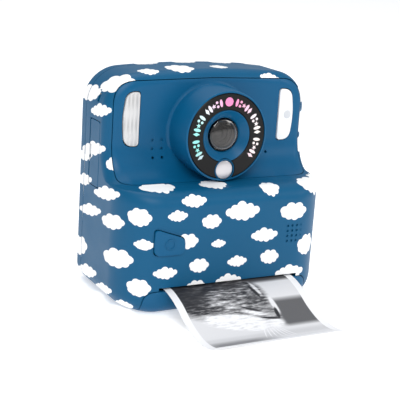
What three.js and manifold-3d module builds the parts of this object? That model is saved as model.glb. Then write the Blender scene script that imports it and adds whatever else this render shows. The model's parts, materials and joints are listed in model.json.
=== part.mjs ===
// A kids' instant-print camera: a two-part casing with a bulged printer bay below the lens, a thermal
// printer with its paper roll, and the camera's electronics. Millimetres, +Z up, the lens looks along -Y.
// The origin is the centre of the fixed flat base, behind the paper door.
import * as THREE from 'three';
import { mergeVertices } from 'three/addons/utils/BufferGeometryUtils.js';
import { LoftGeometry } from 'three/addons/geometries/LoftGeometry.js';
import { RoundedBoxGeometry } from 'three/addons/geometries/RoundedBoxGeometry.js';
import Module from 'manifold-3d';

const wasm = await Module();
wasm.setup();

// ---------------------------------------------------------------- driving dimensions
const GAP = 0.3; // clearance between pieces that face each other
const WALL = 2; // moulded wall thickness

const CASE = {
  halfWidth: 45,
  front: -39, // face of the printer bulge
  panel: -14.7, // flat face round the lens
  back: 14,
  top: 90.2,
  shoulder: 74, // where the top corners begin
  cornerRadius: 15, // top corners, seen from the front
  footRadius: 8.5, // bottom corners, seen from the front
  edgeRadius: 6, // bottom and rear edges
  panelEdge: 5, // edge round the upper front face
  bulgeEdge: 17, // upright edges of the bulge
  coveRadius: 14.2, // hollow curve from the panel out to the bulge
  coveZ: 62.4,
  lipRadius: 6, // rounded top edge of the bulge
  lipZ: 41.9,
  parting: 5, // plane where the front and rear shells meet
};

const LENS = { z: 66.6, ringY: -28.5, mirrorDrop: 13.4, mirrorRadius: 3.75, glassRadius: 6.3 };
const BARREL = { rim: 17.75, root: 18.1, seat: 17, seatDepth: 1.7, bore: 15.2 }; // radii of the lens barrel
const PANEL = { halfWidth: 41.9, top: 87, corner: 10, bottom: 48.6, bottomCorner: 8.5, seamY: -25.6 };
const WINDOW = { inner: 31.3, outer: 38.4, low: 61.1, high: 82.2, bow: 3.7 };
const LAMP = { x: 35.4, z: 71.6, radius: 1.5 };
const VENTS = { columns: [-25.3, -21.3], drops: [3.4, 6.8, 10.2], radius: 0.6 };
const MICROPHONE = { x: 25.9, drop: 10.1 };

const PAPER = { width: 57, thickness: 0.4, feedZ: 10.3, reach: -80 };
const ROLL = { y: -16, z: 18, radius: 12.5, bore: 6.4, coreBore: 4.1 };
const PLATEN = { y: -31.5, z: 6.2, radius: 3.6, shaft: 1.5 };

const DOOR = { halfWidth: 36.5, top: 9.6, corner: 5.5, low: 0.5, plate: 1.8 };
const HINGE = { y: -8.5, z: 2.9, radius: 2.4, pin: 0.9, knuckle: 30.3, end: 36.4, sweep: 2.1 };
const SLOT = { halfWidth: 30.8, low: 9.6, high: 11.2 };

const CHEEK = { inner: 30.9, thickness: 1.5 }; // printer frame's side plates
const GEAR = { module: 0.5, x: 32.8, face: 2.2 };
const PORT = { front: -9, rear: 0, low: 43.8, high: 69.7, thickness: 1.6 };
const SCREEN = { halfWidth: 27, halfHeight: 20.5, z: 62 };
const KEYS = { z: 22, inner: 5.3, outer: 11.2, proud: 0.9, front: 12.2, play: 0.25 };
const SHUTTER = { left: -33.5, right: -21.2, low: 24.3, highLeft: 34.7, highRight: 30.4, proud: 0.8 };
const SPEAKER = { x: 29, z: 28.4, radius: 6.5, pitch: 2.1, hole: 0.55 };
const BOSS = { x: 40, heights: [14, 77], radius: 3.5 };
const SCREW = { length: 13, head: 2.5, shank: 0.8, sunk: 1.7, counterbore: 3 };

const ARC_STEPS = 5; // steps round each quarter turn of the casing's edges
const quarter = Math.PI / 2;

// ---------------------------------------------------------------- materials
const finishes = {
  blue: { color: 0x1f5c8c, roughness: 0.5, metalness: 0 },
  blueLight: { color: 0x2a6798, roughness: 0.42, metalness: 0 },
  black: { color: 0x22201e, roughness: 0.45, metalness: 0 },
  frosted: { color: 0xd8d8d8, roughness: 0.35, metalness: 0 },
  glass: { color: 0x101214, roughness: 0.08, metalness: 0 },
  mirror: { color: 0xcfd2d6, roughness: 0.08, metalness: 1 },
  paper: { color: 0xf4f4f2, roughness: 0.8, metalness: 0 },
  card: { color: 0xb89a72, roughness: 0.85, metalness: 0 },
  board: { color: 0x1d5a3a, roughness: 0.55, metalness: 0 },
  steel: { color: 0xb9bcc0, roughness: 0.3, metalness: 1 },
  nylon: { color: 0xe6e2d6, roughness: 0.55, metalness: 0 },
  rubber: { color: 0x1c1c1e, roughness: 0.85, metalness: 0 },
  ceramic: { color: 0xdcd8cf, roughness: 0.5, metalness: 0 },
  foil: { color: 0x9fb4c8, roughness: 0.4, metalness: 0.2 },
};

const camera = new THREE.Group();

function addPart(name, geometry, finish, position = [0, 0, 0]) {
  const mesh = new THREE.Mesh(geometry, new THREE.MeshStandardMaterial(finishes[finish]));
  mesh.name = name;
  mesh.position.set(...position);
  camera.add(mesh);
  return mesh;
}

// ---------------------------------------------------------------- solids and booleans
function solid(geometry) {
  const bare = new THREE.BufferGeometry();
  bare.setAttribute('position', geometry.attributes.position);
  bare.setIndex(geometry.index);
  const merged = mergeVertices(bare, 1e-5);
  return new wasm.Manifold(new wasm.Mesh({
    numProp: 3,
    vertProperties: new Float32Array(merged.attributes.position.array),
    triVerts: new Uint32Array(merged.index.array),
  }));
}

function geometryOf(manifold) {
  const mesh = manifold.getMesh();
  const geometry = new THREE.BufferGeometry();
  geometry.setAttribute('position', new THREE.BufferAttribute(new Float32Array(mesh.vertProperties), 3));
  geometry.setIndex(new THREE.BufferAttribute(new Uint32Array(mesh.triVerts), 1));
  geometry.computeVertexNormals();
  return geometry;
}

const join = (first, ...others) => others.reduce((sum, next) => sum.add(next), first);
const cut = (first, ...others) => others.reduce((rest, next) => rest.subtract(next), first);

// A box between two corners.
function block([x0, y0, z0], [x1, y1, z1]) {
  const geometry = new THREE.BoxGeometry(x1 - x0, y1 - y0, z1 - z0);
  geometry.translate((x0 + x1) / 2, (y0 + y1) / 2, (z0 + z1) / 2);
  return geometry;
}

// A cylinder or cone whose axis runs along Y, from y0 to y1.
function rodY(radius, y0, y1, x, z, sides = 20, endRadius = radius) {
  const geometry = new THREE.CylinderGeometry(endRadius, radius, y1 - y0, sides);
  geometry.translate(x, (y0 + y1) / 2, z);
  return geometry;
}

// A cylinder whose axis runs along X, from x0 to x1.
function rodX(radius, x0, x1, y, z, sides = 20) {
  const geometry = new THREE.CylinderGeometry(radius, radius, x1 - x0, sides);
  geometry.rotateZ(-quarter);
  geometry.translate((x0 + x1) / 2, y, z);
  return geometry;
}

// A shape drawn as seen from the front (x across, z up), carried from y0 back to y1.
function frontPrism(shape, y0, y1, curveSegments = 6) {
  const geometry = new THREE.ExtrudeGeometry(shape, { depth: y1 - y0, bevelEnabled: false, curveSegments });
  geometry.rotateX(quarter);
  geometry.translate(0, y1, 0);
  return geometry;
}

// A shape drawn as seen from the right side (y across, z up), carried from x0 to x1.
function sidePrism(shape, x0, x1, curveSegments = 6) {
  const geometry = new THREE.ExtrudeGeometry(shape, { depth: x1 - x0, bevelEnabled: false, curveSegments });
  geometry.applyMatrix4(new THREE.Matrix4().set(0, 0, 1, 0, 1, 0, 0, 0, 0, 1, 0, 0, 0, 0, 0, 1));
  geometry.translate(x0, 0, 0);
  return geometry;
}

// A closed outline through corner points, each rounded by its own radius.
function roundedOutline(corners) {
  const shape = new THREE.Shape();
  corners.forEach(([x, y, radius], i) => {
    const here = new THREE.Vector2(x, y);
    const before = corners[(i + corners.length - 1) % corners.length];
    const after = corners[(i + 1) % corners.length];
    const towards = ([px, py]) => new THREE.Vector2(px, py).sub(here).normalize();
    const start = towards(before).multiplyScalar(radius).add(here);
    const end = towards(after).multiplyScalar(radius).add(here);
    if (i === 0) shape.moveTo(start.x, start.y);
    else shape.lineTo(start.x, start.y);
    shape.quadraticCurveTo(here.x, here.y, end.x, end.y);
  });
  shape.closePath();
  return shape;
}

const roundedRectangle = (x0, z0, x1, z1, radius) =>
  roundedOutline([[x0, z0, radius], [x1, z0, radius], [x1, z1, radius], [x0, z1, radius]]);

function polygon(points) {
  return new THREE.Shape(points.map(([x, y]) => new THREE.Vector2(x, y)));
}

// ---------------------------------------------------------------- casing form
// How far a rounded edge of this radius stands in, at a distance t from where it starts.
function filletInset(radius, t) {
  const rest = Math.min(Math.max(radius - t, 0), radius);
  return radius - Math.sqrt(radius ** 2 - rest ** 2);
}

// Front face of the casing at height z, for a skin set in by inset.
function frontAt(z, inset) {
  const lip = CASE.lipRadius - inset;
  const cove = CASE.coveRadius + inset;
  const coveY = CASE.panel - CASE.coveRadius;
  const face = CASE.front + inset;
  if (z <= CASE.lipZ) return face + filletInset(CASE.edgeRadius - inset, z - inset);
  if (z <= CASE.lipZ + lip) return face + filletInset(lip, lip - (z - CASE.lipZ));
  if (z < CASE.coveZ) return coveY + Math.sqrt(Math.max(cove ** 2 - (CASE.coveZ - z) ** 2, 0));
  return CASE.panel + inset;
}

// A level slice of the casing: a rectangle with large front corners and smaller rear ones.
function levelSection(z, inset) {
  const side = filletInset(CASE.footRadius - inset, z - inset);
  const rear = filletInset(CASE.edgeRadius - inset, z - inset);
  const x = CASE.halfWidth - inset - side;
  const yFront = frontAt(z, inset);
  const yBack = CASE.back - inset - rear;
  const depth = (CASE.panel + inset - yFront) / (CASE.panel - CASE.front);
  const frontRadius = CASE.panelEdge - inset + (CASE.bulgeEdge - CASE.panelEdge) * depth;
  const rearRadius = CASE.edgeRadius - inset;
  const points = [];
  const corner = (sx, y, sy, radius, from) => {
    const rx = Math.max(radius - side, 1);
    const ry = Math.max(radius - (sy < 0 ? 0 : rear), 1);
    for (let i = 0; i <= ARC_STEPS; i++) {
      const angle = from + (quarter * i) / ARC_STEPS;
      const px = sx * (x - rx) + rx * Math.cos(angle);
      points.push(new THREE.Vector3(px, y - sy * ry + ry * Math.sin(angle), z));
    }
  };
  corner(1, yBack, 1, rearRadius, 0);
  corner(-1, yBack, 1, rearRadius, quarter);
  corner(-1, yFront, -1, frontRadius, 2 * quarter);
  corner(1, yFront, -1, frontRadius, 3 * quarter);
  return points;
}

// An upright slice of the casing's top, above the shoulder: two corners and a crown.
function crownSection(y, inset) {
  const corner = CASE.cornerRadius;
  const cornerX = CASE.halfWidth - corner;
  const rise = CASE.top - CASE.shoulder;
  const crown = (cornerX ** 2 + rise ** 2 - corner ** 2) / (2 * (rise - corner));
  const crownZ = CASE.top - crown;
  const tangent = Math.asin(cornerX / (crown - corner));
  const points = [];
  for (let i = 0; i <= ARC_STEPS; i++) {
    const angle = ((quarter - tangent) * i) / ARC_STEPS;
    points.push([cornerX + (corner - inset) * Math.cos(angle), CASE.shoulder + (corner - inset) * Math.sin(angle)]);
  }
  const crownSteps = 8;
  for (let i = 1; i < crownSteps; i++) {
    const angle = quarter - tangent + (2 * tangent * i) / crownSteps;
    points.push([(crown - inset) * Math.cos(angle), crownZ + (crown - inset) * Math.sin(angle)]);
  }
  for (let i = ARC_STEPS; i >= 0; i--) {
    const [x, z] = points[i];
    points.push([-x, z]);
  }
  return points.map(([x, z]) => new THREE.Vector3(x, y, z));
}

// The whole casing as one solid, with its skin set in (or out, when negative) by inset.
function casingForm(inset) {
  const low = inset;
  const lip = CASE.lipRadius - inset;
  const cove = CASE.coveRadius + inset;
  const heights = [0, 0.06, 0.2, 0.42, 0.7, 1].map((f) => low + f * (CASE.footRadius - inset));
  for (let i = 0; i <= ARC_STEPS; i++) heights.push(CASE.lipZ + lip * Math.sin((quarter * i) / ARC_STEPS));
  for (let i = 0; i <= ARC_STEPS + 2; i++) {
    heights.push(CASE.coveZ - cove * Math.cos((quarter * i) / (ARC_STEPS + 2)));
  }
  heights.push(CASE.shoulder);
  const lower = new LoftGeometry(heights.map((z) => levelSection(z, inset)), { capStart: true, capEnd: true });

  const depths = [];
  const insets = [];
  const frontEdge = CASE.panelEdge - inset;
  const rearEdge = CASE.edgeRadius - inset;
  for (let i = 0; i <= ARC_STEPS; i++) {
    const angle = (quarter * i) / ARC_STEPS;
    depths.push(CASE.panel + inset + frontEdge * (1 - Math.cos(angle)));
    insets.push(inset + frontEdge * (1 - Math.sin(angle)));
  }
  for (let i = ARC_STEPS; i >= 0; i--) {
    const angle = (quarter * i) / ARC_STEPS;
    depths.push(CASE.back - inset - rearEdge * (1 - Math.cos(angle)));
    insets.push(inset + rearEdge * (1 - Math.sin(angle)));
  }
  const slices = depths.map((y, i) => crownSection(y, insets[i]).reverse());
  const upper = new LoftGeometry(slices, { capStart: true, capEnd: true });
  return join(solid(lower), solid(upper));
}

// ---------------------------------------------------------------- shells
const outer = casingForm(0);
const hollow = casingForm(WALL);
const skin = cut(outer, hollow);
const frontHalf = solid(block([-60, -60, -10], [60, CASE.parting, 110]));
const rearHalf = solid(block([-60, CASE.parting + GAP, -10], [60, 40, 110]));

// Outline of the plain front panel, grown by a margin.
function panelOutline(margin, bottom) {
  const x = PANEL.halfWidth + margin;
  const z = PANEL.top + margin;
  const droop = 1; // the top edge falls towards its corners, as the casing's crown does
  return roundedOutline([
    [-x, bottom - margin, PANEL.bottomCorner], [x, bottom - margin, PANEL.bottomCorner],
    [x, z - droop, PANEL.corner], [0, z, 4], [-x, z - droop, PANEL.corner],
  ]);
}

// The panel's cutter leans at the bottom, so that the seam there is square to the cove.
function panelCutter(margin) {
  const slices = [PANEL.seamY - 4, -9].map((y) => {
    const bottom = PANEL.bottom - (y - PANEL.seamY);
    const points = panelOutline(margin, bottom).getPoints(5).slice(0, -1);
    return points.map((p) => new THREE.Vector3(p.x, y, p.y)).reverse();
  });
  return solid(new LoftGeometry(slices, { capStart: true, capEnd: true }));
}

// A window's outline: straight towards the lens, bowed towards the side. side is -1 left, 1 right.
function windowOutline(side, margin) {
  const inner = WINDOW.inner - margin;
  const outerX = WINDOW.outer + margin;
  const low = WINDOW.low - margin;
  const high = WINDOW.high + margin;
  const corners = [
    [side * inner, low, 1.5], [side * (outerX - 1.2), low, WINDOW.bow], [side * outerX, (low + high) / 2, 5],
    [side * (outerX - 1.6), high, WINDOW.bow], [side * inner, high, 1.5],
  ];
  return roundedOutline(side > 0 ? corners : corners.reverse());
}

const shutterOutline = (margin) => roundedOutline([
  [SHUTTER.left - margin, SHUTTER.low - margin, 2.2], [SHUTTER.right + margin, SHUTTER.low - margin, 2.2],
  [SHUTTER.right + margin, SHUTTER.highRight + margin, 2.2],
  [SHUTTER.left - margin, SHUTTER.highLeft + margin, 2.2],
]);

// The paper door's outline from the front, grown by a margin.
const doorOutline = (margin) => roundedOutline([
  [-DOOR.halfWidth - margin, -20, 1], [DOOR.halfWidth + margin, -20, 1],
  [DOOR.halfWidth + margin, DOOR.top + margin, DOOR.corner],
  [-DOOR.halfWidth - margin, DOOR.top + margin, DOOR.corner],
]);

const plateRear = HINGE.y - HINGE.radius - 0.8; // where the door's plate ends beside the knuckle

// Region of the casing that belongs to the door, grown by a margin. Beside the knuckle the floor stands
// back by sweep, which is the room that the plate's rear edge needs as the door swings down.
function doorRegion(margin, sweep = margin) {
  const front = solid(frontPrism(doorOutline(margin), -60, plateRear + sweep));
  const x = HINGE.knuckle + margin;
  const rear = solid(block([-x, plateRear - 1, -20], [x, HINGE.y + HINGE.radius + margin, DOOR.top]));
  return join(front, rear);
}

const bossPlaces = [-BOSS.x, BOSS.x].flatMap((x) => BOSS.heights.map((z) => [x, z]));

function frontShell() {
  const bosses = bossPlaces.map(([x, z]) => solid(rodY(BOSS.radius, -4, CASE.parting, x, z, 12)));
  const knuckles = [-1, 1].map((side) => {
    const [x0, x1] = side > 0 ? [HINGE.knuckle + GAP, HINGE.end] : [-HINGE.end, -HINGE.knuckle - GAP];
    return join(
      solid(rodX(HINGE.radius, x0, x1, HINGE.y, HINGE.z)),
      solid(block([x0, HINGE.y, 0.5], [x1, HINGE.y + 4, WALL])),
    );
  });
  const grille = [];
  for (let column = -2; column <= 2; column++) {
    for (let row = -1.5; row <= 1.5; row++) {
      const [x, z] = [SPEAKER.x + column * SPEAKER.pitch, SPEAKER.z + row * SPEAKER.pitch];
      grille.push(solid(rodY(SPEAKER.hole, -45, -25, x, z, 6)));
    }
  }
  const screwHoles = bossPlaces.map(([x, z]) => solid(rodY(SCREW.shank + GAP, -3, 20, x, z, 12)));
  const walls = skin.intersect(frontHalf);
  const inside = join(...bosses, ...knuckles).intersect(outer);
  return cut(
    join(walls.subtract(doorRegion(GAP, HINGE.sweep)), inside),
    panelCutter(GAP),
    solid(rodY(BARREL.root + GAP, -60, 0, 0, LENS.z, 40)),
    solid(block([-SLOT.halfWidth, -60, SLOT.low - 1], [SLOT.halfWidth, -30, SLOT.high])),
    solid(frontPrism(shutterOutline(GAP), -60, -25)),
    solid(block([-60, PORT.front - GAP, PORT.low - GAP], [-40, PORT.rear + 0.7, PORT.high + GAP])),
    solid(block([-60, -6.3, 77], [-40, -4.7, 80.4])), // wrist strap slot
    solid(rodX(HINGE.pin + GAP, -40, 40, HINGE.y, HINGE.z, 16)),
    ...screwHoles,
    ...grille,
  );
}

const keyAngles = { right_key: 0, up_key: quarter, left_key: 2 * quarter, down_key: 3 * quarter };
const sideKeys = {
  menu_button: { x: -26, z: 27.5, radius: 3.4 },
  playback_button: { x: -26, z: 16.5, radius: 3.4 },
  power_button: { x: 26, z: 27.5, radius: 3.4 },
};

// One quarter of the ring of direction keys, centred on its angle.
function keyOutline(angle, margin) {
  const shape = new THREE.Shape();
  const half = (38 * Math.PI) / 180 + margin / KEYS.inner / 2;
  shape.absarc(0, KEYS.z, KEYS.outer + margin, angle - half, angle + half, false);
  shape.absarc(0, KEYS.z, KEYS.inner - margin, angle + half, angle - half, true);
  shape.closePath();
  return shape;
}

function rearShell() {
  const seat = CASE.back - SCREW.sunk - 2.1; // floor of each counterbore, under the screw's head
  const bosses = bossPlaces.map(([x, z]) =>
    solid(rodY(BOSS.radius, CASE.parting + GAP, CASE.back - 0.6, x, z, 12)));
  const screws = bossPlaces.flatMap(([x, z]) =>
    [solid(rodY(1.5, 0, 30, x, z, 10)), solid(rodY(SCREW.counterbore, seat, 30, x, z, 14))]);
  const keyHoles = [
    solid(rodY(KEYS.outer + KEYS.play, 8, 20, 0, KEYS.z, 28)),
    ...Object.values(sideKeys).map(({ x, z, radius }) => solid(rodY(radius + KEYS.play, 8, 20, x, z, 16))),
  ];
  const { halfWidth, halfHeight, z } = SCREEN;
  const screenHole = frontPrism(roundedRectangle(-halfWidth - GAP, z - halfHeight - GAP,
    halfWidth + GAP, z + halfHeight + GAP, 3.5), 8, 20);
  const walls = skin.intersect(rearHalf);
  return cut(join(walls, join(...bosses).intersect(outer)), ...screws, ...keyHoles, solid(screenHole));
}

addPart('front_shell', geometryOf(frontShell()), 'blue');
addPart('rear_shell', geometryOf(rearShell()), 'blue');

// ---------------------------------------------------------------- front panel and lens
const mirrorZ = LENS.z - LENS.mirrorDrop;
const mirrorBoss = LENS.mirrorRadius + 0.55; // raised collar that holds the mirror

function frontPanel() {
  const plate = skin.intersect(panelCutter(0));
  const tube = solid(rodY(BARREL.rim, LENS.ringY, CASE.panel + WALL, 0, LENS.z, 48, BARREL.root));
  const bores = [
    solid(rodY(BARREL.seat, -60, LENS.ringY + BARREL.seatDepth, 0, LENS.z, 40)),
    solid(rodY(BARREL.bore, -60, 0, 0, LENS.z, 40)),
  ];
  const collar = solid(rodY(mirrorBoss, LENS.ringY, CASE.panel, 0, mirrorZ, 32));
  const recess = solid(rodY(LENS.mirrorRadius + 0.2, -60, LENS.ringY + 1.3, 0, mirrorZ, 32));
  const holes = VENTS.columns.flatMap((x) => VENTS.drops.map((drop) => [x, LENS.z - drop]));
  holes.push([MICROPHONE.x, LENS.z - MICROPHONE.drop]);
  const vents = holes.map(([x, z]) => solid(rodY(VENTS.radius, -40, -5, x, z, 10)));
  const windows = [-1, 1].map((side) => solid(frontPrism(windowOutline(side, GAP), -40, -5)));
  const body = cut(join(plate, tube), ...bores, ...vents, ...windows);
  return join(body, collar).subtract(recess);
}

addPart('front_panel', geometryOf(frontPanel()), 'blueLight');

const mirrorNotch = solid(rodY(mirrorBoss + GAP, -60, 0, 0, mirrorZ, 32));

addPart('lens_trim_ring', geometryOf(cut(
  solid(rodY(BARREL.seat - 0.25, LENS.ringY, LENS.ringY + 1.3, 0, LENS.z, 40)),
  solid(rodY(10.3, -60, 0, 0, LENS.z, 40)),
  mirrorNotch,
)), 'black');

addPart('selfie_mirror', rodY(LENS.mirrorRadius, LENS.ringY, LENS.ringY + 1, 0, mirrorZ, 28), 'mirror');

// The cone round the glass, with the flange that stands behind the trim ring.
const coneProfile = [
  [7, 5.4], [6.6, 5.4], [6.6, 2.6], [10, 0.1], [10, 1.6], [14.9, 1.6], [14.9, 3], [9, 3], [7, 5.4],
].map(([r, depth]) => new THREE.Vector2(r, depth));
const cone = new THREE.LatheGeometry(coneProfile, 32);
cone.translate(0, LENS.ringY, LENS.z);
addPart('lens_cone', geometryOf(solid(cone).subtract(mirrorNotch)), 'blueLight');

// Front element: a shallow dome on a short cylinder.
const domeSteps = 4;
const glassProfile = [];
for (let i = 0; i <= domeSteps; i++) {
  const angle = (quarter * i) / domeSteps;
  glassProfile.push(new THREE.Vector2(LENS.glassRadius * Math.sin(angle), 3 - 1.5 * Math.cos(angle)));
}
glassProfile.push(new THREE.Vector2(LENS.glassRadius, 5), new THREE.Vector2(0, 5));
const glass = new THREE.LatheGeometry(glassProfile, 24);
addPart('lens_glass', glass, 'glass', [0, LENS.ringY, LENS.z]);

addPart('lens_module', geometryOf(join(
  solid(rodY(6, -23, -14, 0, LENS.z, 28)),
  solid(rodY(8, -14.2, -9.5, 0, LENS.z, 28)),
  solid(block([-7.5, -10, LENS.z - 7.5], [7.5, -8.2, LENS.z + 7.5])),
)), 'black');
addPart('sensor_board', new RoundedBoxGeometry(19, 1.2, 19, 1, 0.4), 'board', [0, -7.2, LENS.z]);

// ---------------------------------------------------------------- front windows
const windowFront = CASE.panel - 0.3;
addPart('flash_window', frontPrism(windowOutline(-1, 0), windowFront, windowFront + 1.6), 'frosted');
addPart('flash_reflector', geometryOf(cut(
  solid(block([-39.4, -12.3, 63], [-30.4, -9, 80.5])),
  solid(block([-38.6, -14, 64], [-31.2, -10, 79.5])),
  solid(block([-37, -11, 64.2], [-33, -8, 71.8])),
)), 'mirror');
addPart('flash_board', geometryOf(join(
  solid(block([-39.2, -8.6, 62.5], [-30.2, -7.6, 73])),
  ...[66, 70].map((z) => solid(block([-36.5, -9.8, z - 1.4], [-33.5, -8.5, z + 1.4]))), // LEDs
)), 'board');
addPart('signal_window', geometryOf(cut(
  solid(frontPrism(windowOutline(1, 0), windowFront, windowFront + 1.6)),
  solid(rodY(LAMP.radius + 0.4, -40, 0, LAMP.x, LAMP.z, 20)),
)), 'frosted');
addPart('signal_lamp', rodY(LAMP.radius, windowFront + 0.2, -10, LAMP.x, LAMP.z, 20), 'glass');

// ---------------------------------------------------------------- buttons on the front and rear
addPart('shutter_button', geometryOf(join(
  solid(frontPrism(shutterOutline(0), -45, -35.6)).intersect(casingForm(-SHUTTER.proud)),
  solid(rodY(2.4, -36.5, -33.7, -27.5, 28.6)),
)), 'blueLight');
addPart('shutter_board', geometryOf(join(
  solid(block([-34.5, -30.6, 24], [-20.5, -29.4, 33])),
  solid(block([-30, -32.3, 26.1], [-25, -30.5, 31.1])),
)), 'board');

const keyRear = CASE.back + KEYS.proud;
for (const [name, angle] of Object.entries(keyAngles)) {
  addPart(name, frontPrism(keyOutline(angle, 0), KEYS.front, keyRear, 5), 'blueLight');
}
addPart('ok_button', rodY(4.4, KEYS.front, keyRear, 0, KEYS.z, 28), 'nylon');
for (const [name, { x, z, radius }] of Object.entries(sideKeys)) {
  addPart(name, rodY(radius, KEYS.front, keyRear, x, z, 16), name === 'power_button' ? 'nylon' : 'blueLight');
}
const domes = [[0, 0], [8.2, 0], [-8.2, 0], [0, 8.2], [0, -8.2]].map(([x, z]) => [x, KEYS.z + z]);
domes.push(...Object.values(sideKeys).map(({ x, z }) => [x, z]));
addPart('key_board', geometryOf(join(
  solid(block([-31, 8.4, 11], [31, 9.6, 34])),
  ...domes.map(([x, z]) => solid(rodY(1.6, 9.5, 10.9, x, z, 12))),
)), 'board');

// ---------------------------------------------------------------- screen
addPart('screen_window', frontPrism(roundedRectangle(-SCREEN.halfWidth, SCREEN.z - SCREEN.halfHeight,
  SCREEN.halfWidth, SCREEN.z + SCREEN.halfHeight, 3.2), 12.3, CASE.back - 0.2), 'glass');
addPart('screen_panel', block([-29, 8.4, 39], [29, 11.6, 84.5]), 'steel');

// ---------------------------------------------------------------- electronics
addPart('main_board', geometryOf(join(
  solid(block([-38, -3, 38.5], [38, -1.4, 73])),
  ...[[10, 46, 5], [24, 60, 3.5], [24, 47, 3]].map(([x, z, half]) =>
    solid(block([x - half, -4.2, z - half], [x + half, -2.9, z + half]))),
)), 'board');
addPart('usb_socket', new RoundedBoxGeometry(7.4, 3.2, 9, 1, 1), 'steel', [-38.7, -4.9, 52]);
addPart('card_socket', geometryOf(cut(
  solid(block([-40, -5.6, 58.5], [-25, -3.3, 69])),
  solid(block([-50, -5.1, 59], [-27, -3.8, 68.5])),
)), 'steel');
addPart('memory_card', block([-41.4, -4.8, 59.4], [-27.4, -4.1, 68.1]), 'black');
addPart('battery', new RoundedBoxGeometry(48, 5.8, 33, 1, 1), 'foil', [1, 2.1, 56.5]);
addPart('speaker', geometryOf(join(
  solid(rodY(SPEAKER.radius, -34.4, -32.9, SPEAKER.x, SPEAKER.z, 32)),
  solid(rodY(4, -33, -31.9, SPEAKER.x, SPEAKER.z, 24)),
)), 'black');
addPart('microphone', rodY(2, -12.3, -10, MICROPHONE.x, LENS.z - MICROPHONE.drop, 16), 'steel');

// ---------------------------------------------------------------- side port cover and strap pin
addPart('port_cover', new RoundedBoxGeometry(
  PORT.thickness, PORT.rear - PORT.front, PORT.high - PORT.low, 1, 0.5,
), 'rubber', [-CASE.halfWidth + PORT.thickness / 2, (PORT.rear + PORT.front) / 2, (PORT.low + PORT.high) / 2]);
addPart('strap_pin', new THREE.CylinderGeometry(0.7, 0.7, 7, 12).rotateX(quarter), 'steel', [-40, -6.5, 77.3]);

// ---------------------------------------------------------------- printer
// A strip of even thickness along a path of [y, z] points, as wide as the paper.
function paperStrip(points, steps) {
  const path = new THREE.SplineCurve(points.map(([y, z]) => new THREE.Vector2(y, z)));
  const sections = [];
  for (let i = 0; i <= steps; i++) {
    const at = path.getPoint(i / steps);
    const along = path.getTangent(i / steps);
    const off = new THREE.Vector2(-along.y, along.x).multiplyScalar(PAPER.thickness / 2);
    const half = PAPER.width / 2;
    sections.push([[-half, 1], [half, 1], [half, -1], [-half, -1]].map(([x, s]) =>
      new THREE.Vector3(x, at.x + s * off.x, at.y + s * off.y)));
  }
  return new LoftGeometry(sections, { capStart: true, capEnd: true });
}

addPart('paper_print', paperStrip([
  [-24, 7.6], [PLATEN.y + 3, 9.4], [PLATEN.y, PAPER.feedZ], [-40, 10.2], [-48, 7.9], [-56, 3.9], [-63, 1.4],
  [-69, 0.45], [-75, 0.95], [PAPER.reach, 2.6],
], 40), 'paper');

addPart('paper_roll', geometryOf(cut(
  solid(rodX(ROLL.radius, -PAPER.width / 2, PAPER.width / 2, ROLL.y, ROLL.z, 40)),
  solid(rodX(ROLL.bore, -40, 40, ROLL.y, ROLL.z, 28)),
)), 'paper');
addPart('roll_core', geometryOf(cut(
  solid(rodX(ROLL.bore - 0.3, -PAPER.width / 2, PAPER.width / 2, ROLL.y, ROLL.z, 28)),
  solid(rodX(ROLL.coreBore, -40, 40, ROLL.y, ROLL.z, 20)),
)), 'card');

// Side plate outline: low in front of the hinge, set back above the print head.
const cheekOutline = polygon([
  [-35.6, 3.2], [-12.5, 3.2], [-12.5, 6.2], [-3, 6.2], [-3, 34], [-27.5, 34], [-27.5, 21.4], [-35.6, 21.4],
]);
const idlers = [{ y: -26.6, z: 14.9 }, { y: -22.6, z: 28.3 }];
const motorAt = { y: -20.1, z: 37.6 };

function printerFrame() {
  const cheeks = [-1, 1].map((side) => {
    const x0 = side > 0 ? CHEEK.inner : -CHEEK.inner - CHEEK.thickness;
    const hub = side > 0 ? [24, CHEEK.inner + 0.5] : [-CHEEK.inner - 0.5, -24];
    return join(
      solid(sidePrism(cheekOutline, x0, x0 + CHEEK.thickness)),
      solid(rodX(ROLL.coreBore - 0.4, ...hub, ROLL.y, ROLL.z)),
    );
  });
  const x = CHEEK.inner + 0.5;
  return cut(
    join(
      ...cheeks,
      solid(block([-x, -34.5, 19.2], [x, -29.4, 21.4])),
      solid(block([-x, -12, 32], [x, -4, 34])),
      ...idlers.map(({ y, z }) => solid(rodX(1.2, x, GEAR.x + GEAR.face, y, z, 16))),
    ),
    solid(block([-60, -60, 0], [60, PLATEN.y + 2.6, PLATEN.z + 2.4])), // the door takes the platen out here
  );
}
addPart('printer_frame', geometryOf(printerFrame()), 'black');

addPart('print_head', geometryOf(join(
  solid(block([-27, -36.2, 12], [27, -28.2, 14])),
  solid(block([-27, -33, 10.8], [27, -30, 12.1])),
)), 'ceramic');

// A round-wire compression spring standing on the print head.
class SpringPath extends THREE.Curve {
  constructor(x, y, low, high, radius, turns) {
    super();
    Object.assign(this, { x, y, low, high, radius, turns });
  }

  getPoint(t, target = new THREE.Vector3()) {
    const angle = t * this.turns * 2 * Math.PI;
    const z = this.low + (this.high - this.low) * t;
    return target.set(this.x + this.radius * Math.cos(angle), this.y + this.radius * Math.sin(angle), z);
  }
}

function wireAlong(path, radius, steps) {
  const section = new THREE.Shape();
  section.absarc(0, 0, radius, 0, 2 * Math.PI, false);
  return new THREE.ExtrudeGeometry(section, { steps, extrudePath: path, bevelEnabled: false, curveSegments: 3 });
}

for (const [name, x] of [['head_spring_left', -18], ['head_spring_right', 18]]) {
  addPart(name, wireAlong(new SpringPath(x, -32, 14.6, 18.6, 1.8, 3), 0.25, 24), 'steel');
}

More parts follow.
